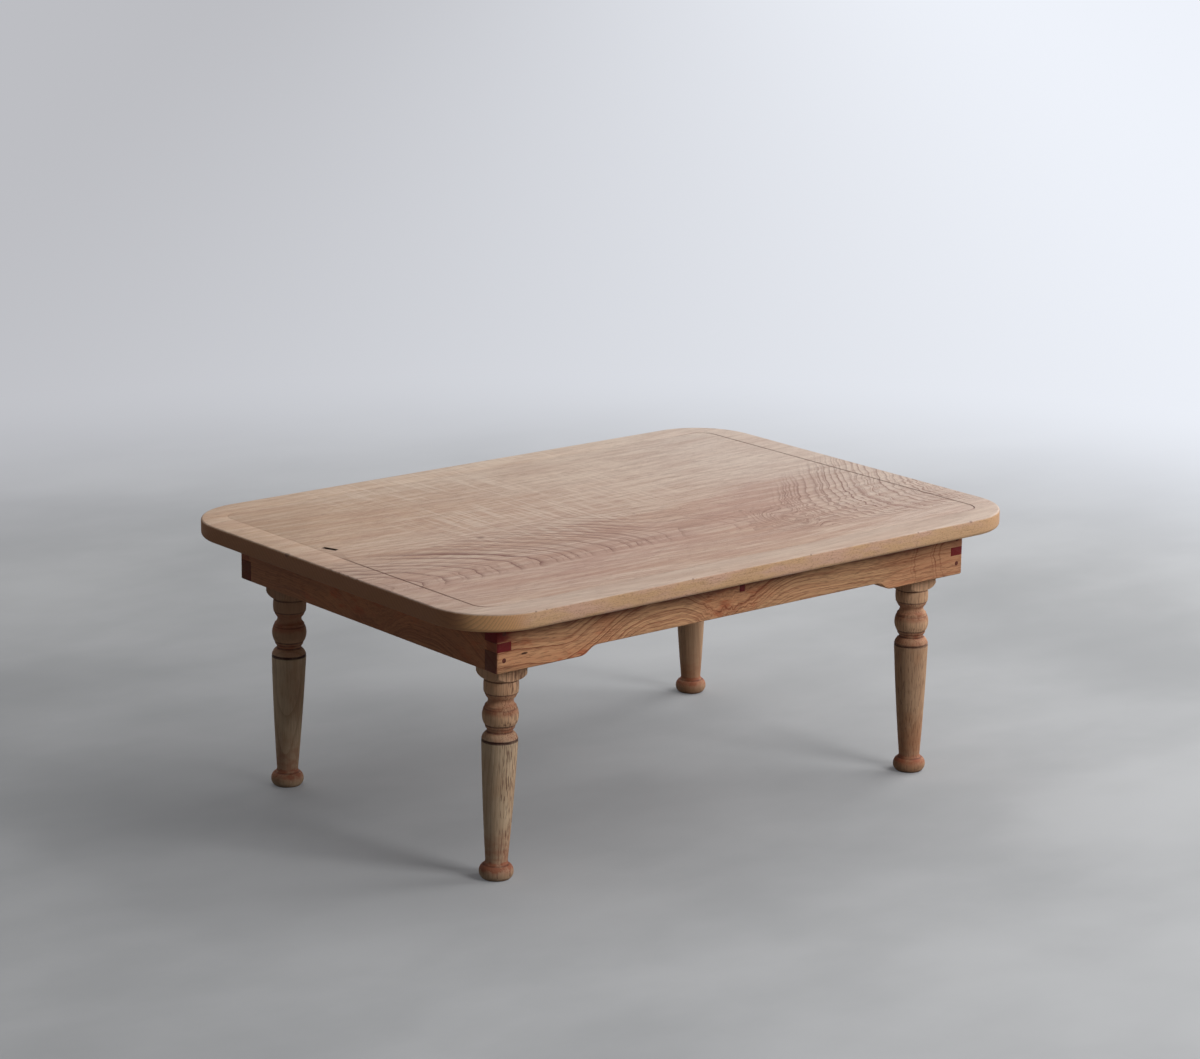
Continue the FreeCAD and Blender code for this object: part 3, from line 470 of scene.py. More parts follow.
def slab_rings():
    """Rings round the slab from its underside, up over its edge and down into the incised line."""
    rings = []
    for step in range(7):
        angle = step / 6 * math.pi / 2
        inset = lower_round * (1 - math.sin(angle))
        rings.append((inset, top_low.z + lower_round * (1 - math.cos(angle)), None))
    for step in range(7):
        angle = step / 6 * math.pi / 2
        inset = upper_round * (1 - math.cos(angle))
        rings.append((inset, top_high.z - upper_round * (1 - math.sin(angle)), None))
    groove = [(0.0, 0.0), (line_lip, -line_lip), (line_slope, -line_depth),
              (line_width - line_slope, -line_depth), (line_width - line_lip, -line_lip), (line_width, 0.0)]
    for across, drop in groove:
        rings.append((line_inset + across, top_high.z + drop, line_corner - across))
    return rings


def worn(point, inset):
    """Moves a point of the slab as long use and sanding have: the edge in, the incised line shallower."""
    x, y, z = point
    if inset >= line_inset:
        at_right = min(1.0, (x - 0.3) / 0.06)
        at_left = min(1.0, (-0.36 - x) / 0.02, (0.02 - y) / 0.03)
        kept = max(0.25, at_right, at_left)
        return (x, y, top_high.z + (z - top_high.z) * kept)
    waver = noise.noise(Vector((x * 14, y * 14, z * 30))) * 0.0005
    pull = 1 - max(0.0, min(1.0, inset / 0.009))
    centre = Vector((x, y, 0)).normalized()
    return (x + centre.x * min(0.0, waver) * pull, y + centre.y * min(0.0, waver) * pull, z)


def slab_mesh():
    """The slab: its rings joined into a skin, with the slot cut through and both faces filled round it."""
    shape = bmesh.new()
    loops = []
    for inset, height, radius in slab_rings():
        radius = corner_radius - inset if radius is None else radius
        spots = [worn((x, y, height), inset) for x, y in slab_outline(inset, radius)]
        loops.append([shape.verts.new(spot) for spot in spots])
    for lower, upper in zip(loops, loops[1:]):
        for index in range(len(lower)):
            after = (index + 1) % len(lower)
            shape.faces.new((lower[index], lower[after], upper[after], upper[index]))
    ease = 0.0006
    askew = Matrix.Rotation(slot_turn, 3, "Z")
    slots = []
    for grow, height in ((ease, top_low.z), (0, top_low.z + ease),
                         (0, top_high.z - ease), (ease, top_high.z)):
        reach_x = slot_half_width + grow
        reach_y = slot_half_length + grow
        corners = ((-reach_x, -reach_y), (reach_x, -reach_y), (reach_x, reach_y), (-reach_x, reach_y))
        spots = [askew @ Vector((x, y, 0)) + Vector((slot_x, slot_y, height)) for x, y in corners]
        slots.append([shape.verts.new(spot) for spot in spots])
    for lower, upper in zip(slots, slots[1:]):
        for index in range(4):
            after = (index + 1) % 4
            shape.faces.new((lower[after], lower[index], upper[index], upper[after]))
    for outline, hole in ((loops[0], slots[0]), (loops[-1], slots[-1])):
        rims = []
        for loop in (outline, hole):
            rims += [shape.edges.get((loop[index - 1], loop[index])) for index in range(len(loop))]
        bmesh.ops.triangle_fill(shape, use_beauty=True, use_dissolve=False, edges=rims)
    bmesh.ops.recalc_face_normals(shape, faces=shape.faces)
    mesh = bpy.data.meshes.new("top_slab")
    shape.to_mesh(mesh)
    shape.free()
    mesh.shade_smooth()
    mesh.set_sharp_from_angle(angle=smooth_below)
    return mesh


def top_flames(place, axes, right, below_face, jag):
    """Ring lines on the slab, bold ones and thin ones, in flames that open to both ends from a saddle."""
    x, y, z = axes
    drift = flecks(place, (4.0, 7.0, 4.0), 1.0, 2.0) - 0.5
    waver = flecks(place, (16.0, 34.0, 16.0), 2.0, 6.0) - 0.5
    flames_y = -0.122
    loop_x, loop_y = 0.152, -0.17
    tip = y - flames_y + right * 0.04 + drift * 0.024
    limb = tip * (0.82 - rise(tip, 0.01, -0.01) * (1 - right) * 0.2)
    wild = right * rise(abs(tip), 0.11, 0.04)
    loop = rise(distance((x - loop_x) / 0.04, (y - loop_y) / 0.09), 1.0, 0.0)
    beyond = x - 0.1
    before = (distance(x, 0.03) - x) * 0.5
    ring = (before - before * before * 0.75) * 0.95 + (distance(beyond, 0.03) + beyond) * 0.45
    ring = ring - distance(limb, 0.024 + right * 0.036) + loop * 0.05
    ring = ring + waver * 0.012 + jag * (0.003 + wild * 0.014) - below_face * 2.6
    contour = place.node("ShaderNodeCombineXYZ", {}, {"X": x, "Y": ring, "Z": z})
    uneven = flecks(contour, (2.0, 22.0, 1.0), 1.0, 19.0) - 0.5
    rings = ring * (68.0 + right * 36.0) + uneven * 3.2
    early = rings.math("FRACT", rings)
    weight = rise(flecks(contour, (5.0, 45.0, 1.0), 1.0, 23.0), 0.32, 0.58)
    saddle = rise(abs(x - saddle_x), 0.1, 0.04)
    flame = rise(tip, -0.036 - right * 0.03, -0.014 - right * 0.03)
    flame = flame * rise(tip - right * (x - 0.2) * 0.5, 0.14, 0.07) * (1 - saddle * 0.6)
    flame = flame * (1 - right * rise(ring, 0.02, 0.0) * rise(tip, 0.03, 0.07))
    thin = rise(flecks(contour, (5.0, 300.0, 1.0), 2.0, 31.0), 0.52, 0.68) * flame
    keen = 4.5 + rise(abs(tip), 0.035, 0.005) * (1 - right) * 6.0
    lines = early ** keen * (0.45 + weight * 0.55) * (0.05 + flame * 0.95) * (1 - right * 0.3)
    lines = lines + early ** 2.5 * flame * 0.1
    return lines, thin


def top_ground(place, axes, right):
    """The slab's ground colour: streaks and bands, tan at the back left, a painted sheen that makes it paler
    and greyer to the back right and to the right, pale rays.
    """
    x, y, z = axes
    swept = y - distance(x - saddle_x, 0.1) * 0.22
    swept = place.node("ShaderNodeCombineXYZ", {}, {"X": x, "Y": swept, "Z": z})
    streaks = rise(flecks(swept, (3.5, 240.0, 240.0), 3.0, 11.0), 0.3, 0.7)
    bands = rise(flecks(swept, (2.2, 40.0, 40.0), 2.0, 13.0), 0.36, 0.64)
    cloud = flecks(place, (7.0, 12.0, 7.0), 3.0, 21.0)
    mottle = flecks(place, (11.0, 120.0, 38.0), 3.0, 39.0)
    heart_band = abs(y + 0.14 - x * 0.3 - x * x * 0.7)
    blush = rise(heart_band - cloud * 0.2 - right * 0.02, 0.03, -0.12)
    blush = blush * rise(x * 0.5 + y, 0.2, 0.08) * (1 - rise(x, -0.18, -0.34) * 0.4)
    # Where the painted sheen falls: towards the back right.
    painted_sheen_back_right = rise(x * 0.8 + y + cloud * 0.2, 0.02, 0.42)
    tan = rise(y - x * 0.45 + cloud * 0.15, 0.1, 0.42)
    rays = rise(flecks(place, (190.0, 12.0, 12.0), 2.0, 27.0), 0.47, 0.66)
    ray_zone = rise(y - x * 0.15, -0.11, 0.0) * rise(abs(x + 0.04), 0.27, 0.12) * rise(cloud, 0.35, 0.55)
    colour = stained(streaks, paint(178, 149, 131), paint(203, 178, 160))
    colour = stained(bands * 0.65, colour, paint(178, 142, 121))
    colour = stained(tan * 0.55, colour, paint(188, 153, 118))
    # Painted sheen: the face is washed paler and greyer towards the back right, and greyer towards the right
    # end, as light from the right glancing off it.
    colour = stained(painted_sheen_back_right * 0.5, colour, paint(216, 199, 183))
    colour = stained(rise(x, 0.08, 0.36) * 0.32, colour, paint(208, 196, 189))
    colour = stained(blush * 0.55, colour, paint(166, 126, 113))
    colour = stained(rise(mottle, 0.42, 0.66) * 0.36, colour, paint(172, 137, 118))
    colour = stained(rise(mottle, 0.54, 0.34) * 0.3, colour, paint(213, 190, 170))
    return stained(rays * ray_zone * 0.5, colour, paint(218, 198, 180))


def past_incised_line(x, y):
    """How far a place lies outside the incised line's outer side; less than nothing inside it."""
    rim_x = abs(x) - (half_length - line_inset - line_corner)
    rim_y = abs(y) - (half_width - line_inset - line_corner)
    past_x = rim_x.math("MAXIMUM", rim_x, 0.0)
    past_y = rim_y.math("MAXIMUM", rim_y, 0.0)
    inside = rim_x.math("MAXIMUM", rim_x, rim_y)
    return distance(past_x, past_y) + inside.math("MINIMUM", inside, 0.0) - line_corner


def edge_wood_and_painted_light(place, axes, below_face, jag):
    """The slab's edge, painted yellower than the sheen-painted face: two tones, dark specks, warmer corners
    that are partly painted light, and ring ends that stripe the corners.
    """
    x, y, _ = axes
    tones = rise(flecks(place, (16.0, 16.0, 60.0), 3.0, 47.0), 0.4, 0.62)
    colour = stained(tones, paint(210, 167, 124), paint(212, 168, 142))
    specks = rise(flecks(place, (420.0, 420.0, 800.0), 2.0, 49.0), 0.5, 0.68)
    colour = stained(specks * 0.4, colour, paint(150, 102, 66))
    # Painted light: the corners, most of all at the left, are painted warmer and brighter, partly the tone of
    # the wood and partly the front light falling on them.
    at_corner = rise(abs(x), half_length - corner_radius, half_length - 0.05)
    corner_tone_and_light = at_corner * (0.1 + rise(x, 0.1, -0.1) * 0.7)
    colour = stained(corner_tone_and_light, colour, paint(234, 174, 114))
    stripes = (abs(x) - y * 0.4) * 380.0 - below_face * 160.0 + jag * 0.8
    stripes = stripes.math("FRACT", stripes) ** 3.0 * at_corner
    return stained(stripes * 0.45, colour, paint(136, 90, 56))


def top_wear(colour, axes, below_face, jag):
    """Pin knots in the slab's face, and nicks knocked into its edge."""
    x, y, _ = axes
    for knot_x, knot_y, reach in ((0.304, -0.1, 0.0035), (-0.197, -0.011, 0.007),
                                  (0.134, -0.095, 0.004), (0.02, -0.03, 0.003)):
        knot = distance((x - knot_x) / reach, (y - knot_y) / (reach * 0.6))
        colour = stained(rise(knot, 1.2, 0.3) * 0.6, colour, paint(92, 60, 46))
    for nick_x, nick_y, reach in ((-0.34, -half_width, 0.002), (-0.325, -half_width, 0.0015),
                                  (-0.115, -half_width, 0.0025), (0.065, -half_width, 0.002),
                                  (0.237, -half_width, 0.002), (0.325, -half_width, 0.003),
                                  (-half_length, 0.062, 0.005), (half_length, 0.06, 0.002)):
        nick = distance(distance(x - nick_x, y - nick_y), (below_face - 0.001) * 1.5) / reach
        colour = stained(rise(nick + jag * 0.8, 1.0, 0.5) * 0.5, colour, paint(92, 58, 44))
    return colour


def top_finish():
    """Bare slab: ring lines and pores on the ground colour, a yellower edge with painted light, wear, a
    darker incised line, and painted shade in the slot.
    """
    material, place, axes = bare_finish("top_bare_wood")
    x, y, z = axes
    below_face = top_high.z - z
    jag = flecks(place, (46.0, 80.0, 46.0), 2.0, 8.0) - 0.5
    fine = flecks(place, (9.0, 700.0, 700.0), 2.0, 15.0)
    pores = rise(flecks(place, (60.0, 1400.0, 1400.0), 1.0, 17.0), 0.57, 0.7)
    right = rise(x, saddle_x, 0.13)
    lines, thin = top_flames(place, axes, right, below_face, jag)
    colour = top_ground(place, axes, right)
    colour = stained(thin * (0.4 + right * 0.25), colour, paint(124, 82, 68))
    colour = stained(lines.math("MINIMUM", lines * 0.95, 0.9), colour, paint(108, 64, 52))
    colour = stained(pores * 0.3, colour, paint(116, 80, 68))
    past_line = past_incised_line(x, y)
    rim = rise(past_line, -0.002, 0.006) * (0.04 + rise(y, -0.24, -0.262) * 0.31)
    colour = stained(rim, colour, paint(210, 190, 172))
    # The edge gets its own yellower colour by facing: partly the tone of the edge grain, partly painted
    # light, since the face's colour carries a greyish sheen that the edge lacks.
    edge = rise(below_face, 0.0005, 0.0022)
    colour = stained(edge * 0.9, colour, edge_wood_and_painted_light(place, axes, below_face, jag))
    end_grain = edge * rise(abs(x), half_length - 0.02, half_length - 0.003)
    colour = stained(end_grain * 0.7, colour, paint(140, 86, 62))
    colour = top_wear(colour, axes, below_face, jag)
    beads = flecks(place, (260.0, 260.0, 260.0), 1.0, 33.0)
    # The incised line is painted darker, in dotted beads, most at the right end and at the front of the left
    # end.
    line_darkening = rise(abs(past_line + line_width / 2), 0.0016, 0.0005) * rise(below_face, 0.003, 0.0015)
    right_end = rise(x, 0.33, 0.38)
    left_end = rise(x, -0.36, -0.38) * rise(y, 0.03, -0.01)
    line_darkening_share = right_end * 0.52 + left_end * 0.38 + 0.07
    colour = stained(line_darkening * line_darkening_share * (0.1 + beads * 1.8), colour, paint(86, 42, 36))
    slot_across = (x - slot_x) * math.cos(slot_turn) + (y - slot_y) * math.sin(slot_turn)
    slot_along = (y - slot_y) * math.cos(slot_turn) - (x - slot_x) * math.sin(slot_turn)
    # Painted shade: the slot's walls are painted near black-brown, as shade fills the slot; they are also
    # made rougher.
    slot_wall_shade = rise(abs(slot_across), slot_half_width + 0.001, slot_half_width)
    slot_wall_shade = slot_wall_shade * rise(abs(slot_along), slot_half_length + 0.001, slot_half_length)
    colour = stained(slot_wall_shade * 0.95, colour, paint(40, 24, 18))
    roughness = 0.5 + fine * 0.2 + lines * 0.05 + slot_wall_shade * 0.4
    return finish_with(material, colour, roughness, fine * 0.5 - pores - lines * 0.4, 0.0002)


top_slab = bpy.data.objects.new("top_slab", slab_mesh())
top_slab.data.materials.append(top_finish())
bpy.context.scene.collection.objects.link(top_slab)
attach(top_slab, "frame")
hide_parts("top")


# Slotted steel screws come up through counterbores in the aprons and the batten and draw the slab down on
# them. Nobody lined up their slots, and the heads have dulled and rusted a little in the dark.
def steel_finish(name):
    """Dull steel with rust freckles and turning scratches."""
    material, place, _ = bare_finish(name)
    rust = flecks(place, (400.0, 400.0, 400.0), 3.0, 41.0)
    scratch = flecks(place, (2500.0, 2500.0, 300.0), 1.0, 43.0)
    freckles = rise(rust, 0.52, 0.68)
    colour = stained(scratch, paint(120, 118, 114), paint(156, 154, 150))
    colour = stained(freckles * 0.8, colour, paint(104, 62, 40))
    shader = material.node_tree.nodes["Principled BSDF"]
    material.node_tree.links.new((1 - freckles * 0.9).socket, shader.inputs["Metallic"])
    return finish_with(material, colour, 0.4 + freckles * 0.4 + scratch * 0.1, rust + scratch * 0.3, 0.0001)


def screw_tree():
    """Slotted screws at points, heads down: a head with a sawn slot on a plain shank."""
    sizes = [("Head", "Float"), ("Head Height", "Float"), ("Shank", "Float"), ("Length", "Float"),
             ("Slot", "Float"), ("Seed", "Int"), ("Finish", "Material")]
    tree, size, result = new_tree("wood_screw_row", sizes)
    head = size["Head"].node("GeometryNodeMeshCylinder", {}, {
        "Vertices": 20, "Fill Segments": 2, "Radius": size["Head"], "Depth": size["Head Height"]})
    lift = head.node("ShaderNodeCombineXYZ", {}, {"Z": size["Head Height"] / 2})
    head = head.node("GeometryNodeTransform", {}, {"Geometry": head, "Translation": lift})
    box = size["Slot"].node("ShaderNodeCombineXYZ", {}, {
        "X": size["Head"] * 3.0, "Y": size["Slot"], "Z": size["Slot"] * 2.0})
    saw = head.node("GeometryNodeMeshCube", {}, {"Size": box})
    head = head.node("GeometryNodeMeshBoolean", {"operation": "DIFFERENCE"}, {"Mesh 1": head, "Mesh 2": saw})
    shank = head.node("GeometryNodeMeshCylinder", {}, {
        "Vertices": 16, "Radius": size["Shank"], "Depth": size["Length"] - size["Head Height"]})
    lift = shank.node("ShaderNodeCombineXYZ", {}, {"Z": (size["Length"] + size["Head Height"]) / 2})
    shank = shank.node("GeometryNodeTransform", {}, {"Geometry": shank, "Translation": lift})
    join = tree.nodes.new("GeometryNodeJoinGeometry")
    tree.links.new(head.socket, join.inputs[0])
    tree.links.new(shank.socket, join.inputs[0])
    screw = Measure(tree, join.outputs[0])
    turn = screw.node("FunctionNodeRandomValue", {}, {"Max": 6.28, "Seed": size["Seed"]}, 1)
    turn = turn.node("ShaderNodeCombineXYZ", {}, {"Z": turn})
    screws = screw.node("GeometryNodeInstanceOnPoints", {}, {
        "Points": size["Geometry"], "Instance": screw, "Rotation": turn})
    close_tree(screws, size["Finish"], result)
    return tree


screw_low, screw_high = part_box("apron_screws")
screw_head = 0.00425
dull_steel = steel_finish("dull_steel")
screw_sizes = {"Head": screw_head, "Head Height": 0.003, "Shank": 0.00225, "Slot": 0.0011, "Seed": 4,
               "Length": screw_high.z - screw_low.z, "Finish": dull_steel}
screw_x = screw_high.x - screw_head
screw_y = screw_high.y - screw_head
long_row = (-0.165, -0.055, 0.055, 0.165)
end_row = (-0.12, 0.12)
batten_row = (-0.135, -0.045, 0.045, 0.135)
apron_screws = [(x, y, screw_low.z) for x in long_row for y in (-screw_y, screw_y)]
apron_screws += [(x, y, screw_low.z) for x in (-screw_x, screw_x) for y in end_row]
batten_screws = [(0.0, y, screw_low.z) for y in batten_row]
screw_maker = screw_tree()
for node, places in (("apron_screws", apron_screws), ("batten_screws", batten_screws)):
    screws = run_tree(node + "_driven", points_mesh(node + "_places", places), screw_maker, screw_sizes)
    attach(screws, "frame")
    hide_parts(node)


# Each leg is turned from a square billet of hardwood: a square head rounded about its pivot, pommels, a
# barrel, a cup and neck, a bead between incised lines, a collar, a long taper and a bun foot. Red stain stays
# in the hollows and a dark line in every cut. Two legs and a rail swing together as a pair.
half_billet = 21.0
block_length = 57.5
block_middle = -20.0
shoulder_cut = 1.3
pommel_bulge = 2.4
arris_ease = 0.7
leg_lean = math.radians(1.45)
# Turned mouldings, in millimetres: length, cut below the billet's face at the lower end, and swell.
leg_mouldings = [
    (0.8, 2.1, 0), (0.7, 1.4, 0), (14.2, 1.5, 0.5), (0.6, 2.3, 0), (6.6, 6.0, 0.7), (2.2, 6.6, 0),
    (5.8, 3.1, -0.8), (2.4, 2.8, 0), (0.5, 2.1, 0), (18.7, 2.6, 2.1), (0.5, 3.4, 0), (3.5, 4.2, 0),
    (3.0, 6.4, 0), (1.8, 6.4, 0), (8.6, 0.3, 1.3), (1.2, 1.8, 0), (1.2, 0.2, 0),
]
# The taper, the ankle and the foot, in millimetres: lower end above the floor, cut, swell, and steps.
leg_ends = [(21.0, 8.2, 0.7, 28), (16.0, 4.6, -1.0, 8), (-half_billet * math.tan(leg_lean), 6.0, 4.1, 16)]
pivots = {joint["name"]: joint["pos_m"] for joint in frame["joints"]}
leg_x = pivots["right_fold"][0]
pivot_z = pivots["right_fold"][2]
leg_low, leg_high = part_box("front_right_leg")
leg_y = -(leg_low.y + leg_high.y) / 2
leg_drop = pivot_z * 1000 / math.cos(leg_lean)


def round_through(start, middle, end, steps):
    """Points on the arc through three points, after the first."""
    (ax, ay), (bx, by), (cx, cy) = start, middle, end
    twice = 2 * (ax * (by - cy) + bx * (cy - ay) + cx * (ay - by))
    a, b, c = ax * ax + ay * ay, bx * bx + by * by, cx * cx + cy * cy
    centre_x = (a * (by - cy) + b * (cy - ay) + c * (ay - by)) / twice
    centre_y = (a * (cx - bx) + b * (ax - cx) + c * (bx - ax)) / twice
    first = math.atan2(ay - centre_y, ax - centre_x)
    via = math.atan2(by - centre_y, bx - centre_x)
    last = math.atan2(cy - centre_y, cx - centre_x)
    sweep = (last - first) % math.tau
    if (via - first) % math.tau > sweep:
        sweep -= math.tau
    radius = math.hypot(ax - centre_x, ay - centre_y)
    return [(centre_x + radius * math.cos(first + sweep * step / steps),
             centre_y + radius * math.sin(first + sweep * step / steps)) for step in range(1, steps + 1)]


def leg_profile():
    """Radius and height of a leg, in millimetres from its pivot, from the top of its head to its sole."""
    arris = half_billet * math.sqrt(2) - arris_ease
    line = [(arris, half_billet * math.cos(step / 10 * math.pi / 2)) for step in range(11)]
    inner = half_billet - shoulder_cut
    reach = half_billet * math.sqrt(2) - inner + 1.0
    bulge = pommel_bulge * math.sqrt(0.5)
    pommel = round_through((inner + reach, reach - block_length),
                           (inner + reach / 2 + bulge, reach / 2 - block_length - bulge),
                           (inner, -block_length), 10)
    line += [(arris, block_middle), (arris, reach - block_length + 0.5)]
    line += [(min(arris, radius), height) for radius, height in pommel]
    height = -block_length
    ends = []
    for length, cut, swell in leg_mouldings:
        height -= length
        ends.append((height, cut, swell, 10))
    ends += [(height - leg_drop, cut, swell, steps) for height, cut, swell, steps in leg_ends]
    for height, cut, swell, steps in ends:
        start = line[-1]
        end = (half_billet - cut, height)
        if swell:
            middle = ((start[0] + end[0]) / 2 + swell, (start[1] + end[1]) / 2)
            line += round_through(start, middle, end, steps)
        else:
            line.append(end)
    return line


def leg_tree():
    """A pair of turned legs: round spindles on their axes, planed square at the head, level at the sole."""
    sizes = [("Sides", "Int"), ("Half Billet", "Float"), ("Lean", "Float"), ("Finish", "Material"),
             ("Pivot X", "Float"), ("Pivot Y", "Float"), ("Pivot Z", "Float")]
    tree, size, result = new_tree("turned_leg_pair", sizes)
    half = size["Half Billet"]
    axis = half.node("GeometryNodeMeshToCurve", {}, {"Mesh": size["Geometry"]})
    radius = half.node("GeometryNodeInputNamedAttribute", {"data_type": "FLOAT"}, {"Name": "turned_radius"})
    ring = half.node("GeometryNodeCurvePrimitiveCircle", {}, {"Resolution": size["Sides"], "Radius": 1.0})
    leg = half.node("GeometryNodeCurveToMesh", {}, {
        "Curve": axis, "Profile Curve": ring, "Scale": radius, "Fill Caps": True})
    spot = half.node("GeometryNodeInputPosition", {}, {})
    x, y, z = [spot.node("ShaderNodeSeparateXYZ", {}, {"Vector": spot}, output) for output in range(3)]
    above = z.math("MAXIMUM", z, 0.0)
    room = half * half - above * above
    room = room.math("SQRT", room.math("MAXIMUM", room, 0.0))
    planed_x = x.node("ShaderNodeClamp", {}, {"Value": x, "Min": 0 - room, "Max": room})
    planed_y = y.node("ShaderNodeClamp", {}, {"Value": y, "Min": 0 - half, "Max": half})
    planed = x.node("ShaderNodeCombineXYZ", {}, {"X": planed_x, "Y": planed_y, "Z": z})
    leg = leg.node("GeometryNodeSetPosition", {}, {"Geometry": leg, "Position": planed})
    leg = leg.node("GeometryNodeMergeByDistance", {}, {"Geometry": leg, "Distance": 0.00002})
    tilt = half.node("ShaderNodeCombineXYZ", {}, {"Y": size["Lean"]})
    leg = leg.node("GeometryNodeTransform", {}, {"Geometry": leg, "Rotation": tilt})
    join = tree.nodes.new("GeometryNodeJoinGeometry")
    for side in (-1, 1):
        shift = half.node("ShaderNodeCombineXYZ", {}, {
            "X": size["Pivot X"], "Y": size["Pivot Y"] * side, "Z": size["Pivot Z"]})
        moved = leg.node("GeometryNodeTransform", {}, {"Geometry": leg, "Translation": shift})
        tree.links.new(moved.socket, join.inputs[0])
    pair = Measure(tree, join.outputs[0])
    level = half.node("ShaderNodeCombineXYZ", {}, {"X": x, "Y": y, "Z": z.math("MAXIMUM", z, 0.0)})
    pair = pair.node("GeometryNodeSetPosition", {}, {"Geometry": pair, "Position": level})
    close_tree(pair, size["Finish"], result)
    return tree


def leg_finish():
    """Bare turned wood: dashes of pores, red left in the hollows, dark lines in the cuts, painted shade high
    on the back left leg, a scuffed foot.
    """
    material, place, (x, y, z) = bare_finish("leg_bare_wood")
    out = abs(x) - leg_x - (pivot_z - z) * math.tan(leg_lean)
    side = abs(y) - leg_y
    sway = flecks(place, (9.0, 9.0, 7.0), 1.0, 3.0) - 0.5
    rings = distance(out + 0.012, side - 0.016) * 240.0 + sway * 3.0
    late = rings.math("FRACT", rings) ** 4.0
    streaks = flecks(place, (420.0, 420.0, 7.0), 2.0, 11.0)
    dashes = rise(flecks(place, (850.0, 850.0, 62.0), 1.0, 17.0), 0.53, 0.64)
    on_right = rise(x, 0.0, 0.2)
    dashes = dashes * (0.2 + rise(side - out * 0.8, 0.0, 0.014) * 0.8) * (1 - on_right * 0.45)
    cloud = flecks(place, (30.0, 30.0, 22.0), 3.0, 23.0)
    colour = stained(streaks, paint(184, 153, 122), paint(222, 197, 166))
    browner = on_right * (0.1 + rise(z, 0.19, 0.16) * 0.52)
    colour = stained(rise(cloud, 0.45, 0.7) * 0.35 + browner, colour, paint(176, 130, 96))
    colour = stained(rise(z, 0.16, 0.185) * 0.45, colour, paint(214, 154, 112))
    colour = stained(late * 0.35, colour, paint(132, 94, 68))
    colour = stained(dashes * 0.7, colour, paint(92, 54, 38))
    # Painted shade: the upper part of the back left leg is painted darker, where the apron and slab shade it.
    kept = rise(z, 0.165, 0.19) * rise(x, 0.0, -0.2) * rise(y, 0.0, 0.15)
    colour = stained(kept * 0.5, colour, paint(116, 74, 52))
    red = rise(z, 0.075, 0.025) * rise(z, 0.004, 0.012) * (0.55 - on_right * 0.25)
    for height, reach, share in ((0.2135, 0.0075, 0.55), (0.2015, 0.009, 0.65), (0.176, 0.007, 0.75),
                                 (0.167, 0.005, 0.45), (0.0165, 0.007, 0.6)):
        red = red + rise(abs(z - height), reach, reach * 0.3) * share
    seep = rise(flecks(place, (90.0, 90.0, 160.0), 3.0, 37.0), 0.25, 0.7)
    red = red * (0.35 + seep * 0.75)
    colour = stained(red.math("MINIMUM", red, 0.85), colour, paint(150, 80, 52))
    collar_cut = 0.1637
    cuts = rise(abs(z - collar_cut), 0.0023, 0.0011) * (0.95 - on_right * 0.3)
    for height, reach, share in ((0.2337, 0.0014, 0.6), (0.2185, 0.0012, 0.6), (0.2005, 0.001, 0.4),
                                 (0.1813, 0.0014, 0.65), (0.1775, 0.001, 0.5), (0.1735, 0.0012, 0.6),
                                 (0.0172, 0.001, 0.5)):
        cuts = cuts + rise(abs(z - height), reach, reach * 0.4) * share
    cuts = cuts * (0.7 + seep * 0.4)
    colour = stained(cuts.math("MINIMUM", cuts, 0.92), colour, paint(56, 22, 20))
    colour = stained(rise(z, 0.016, 0.006) * 0.3, colour, paint(140, 100, 76))
    # Darker again in the lowest 4 mm, where the foot meets the floor.
    colour = stained(rise(z, 0.004, 0.0) * 0.55, colour, paint(84, 60, 46))
    turning = flecks(place, (3.0, 3.0, 1500.0), 1.0, 29.0)
    roughness = 0.62 + streaks * 0.18
    return finish_with(material, colour, roughness, streaks * 0.4 + turning * 0.25 - dashes, 0.0003)


profile = leg_profile()
leg_wood = leg_finish()
leg_maker = leg_tree()
for side, body in ((-1, "left_leg_pair"), (1, "right_leg_pair")):
    hand = "left" if side < 0 else "right"
    spine = points_mesh(hand + "_leg_axis", [(0, 0, height / 1000) for radius, height in profile],
                        [(index, index + 1) for index in range(len(profile) - 1)])
    cut = spine.attributes.new("turned_radius", "FLOAT", "POINT")
    cut.data.foreach_set("value", [radius / 1000 for radius, height in profile])
    legs = run_tree(hand + "_legs_turned", spine, leg_maker, {
        "Sides": 72, "Half Billet": half_billet / 1000, "Lean": -side * leg_lean, "Finish": leg_wood,
        "Pivot X": side * leg_x, "Pivot Y": leg_y, "Pivot Z": pivot_z})
    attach(legs, body)
    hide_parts(f"front_{hand}_leg", f"back_{hand}_leg")


# A square hardwood rail joins the two legs of a pair. Its round ends pass through the leg heads and turn in
# blind holes in the long aprons, so the rail is the hinge. A peg through each head and round end makes legs
# and rail one.
rail_wood = inner_finish("rail_sawn_wood", along=1)
for hand in ("left", "right"):
    worked_copy(hand + "_rail", hand + "_leg_pair", 0.0005, rail_wood)
    worked_copy(hand + "_leg_pegs", hand + "_leg_pair", 0.0, peg_finish)


# The lock bar is a flat hardwood bar that turns on one steel shoulder screw under the batten, between two
# washers. Turned along the table its ends come up against both rails, and the legs can't fold.
worked_copy("lock_bar", "lock", 0.0006, inner_finish("lock_bar_sawn_wood", along=0))
worked_copy("lock_screw", "frame", 0.0, dull_steel)
worked_copy("lock_washers", "frame", 0.0, dull_steel)


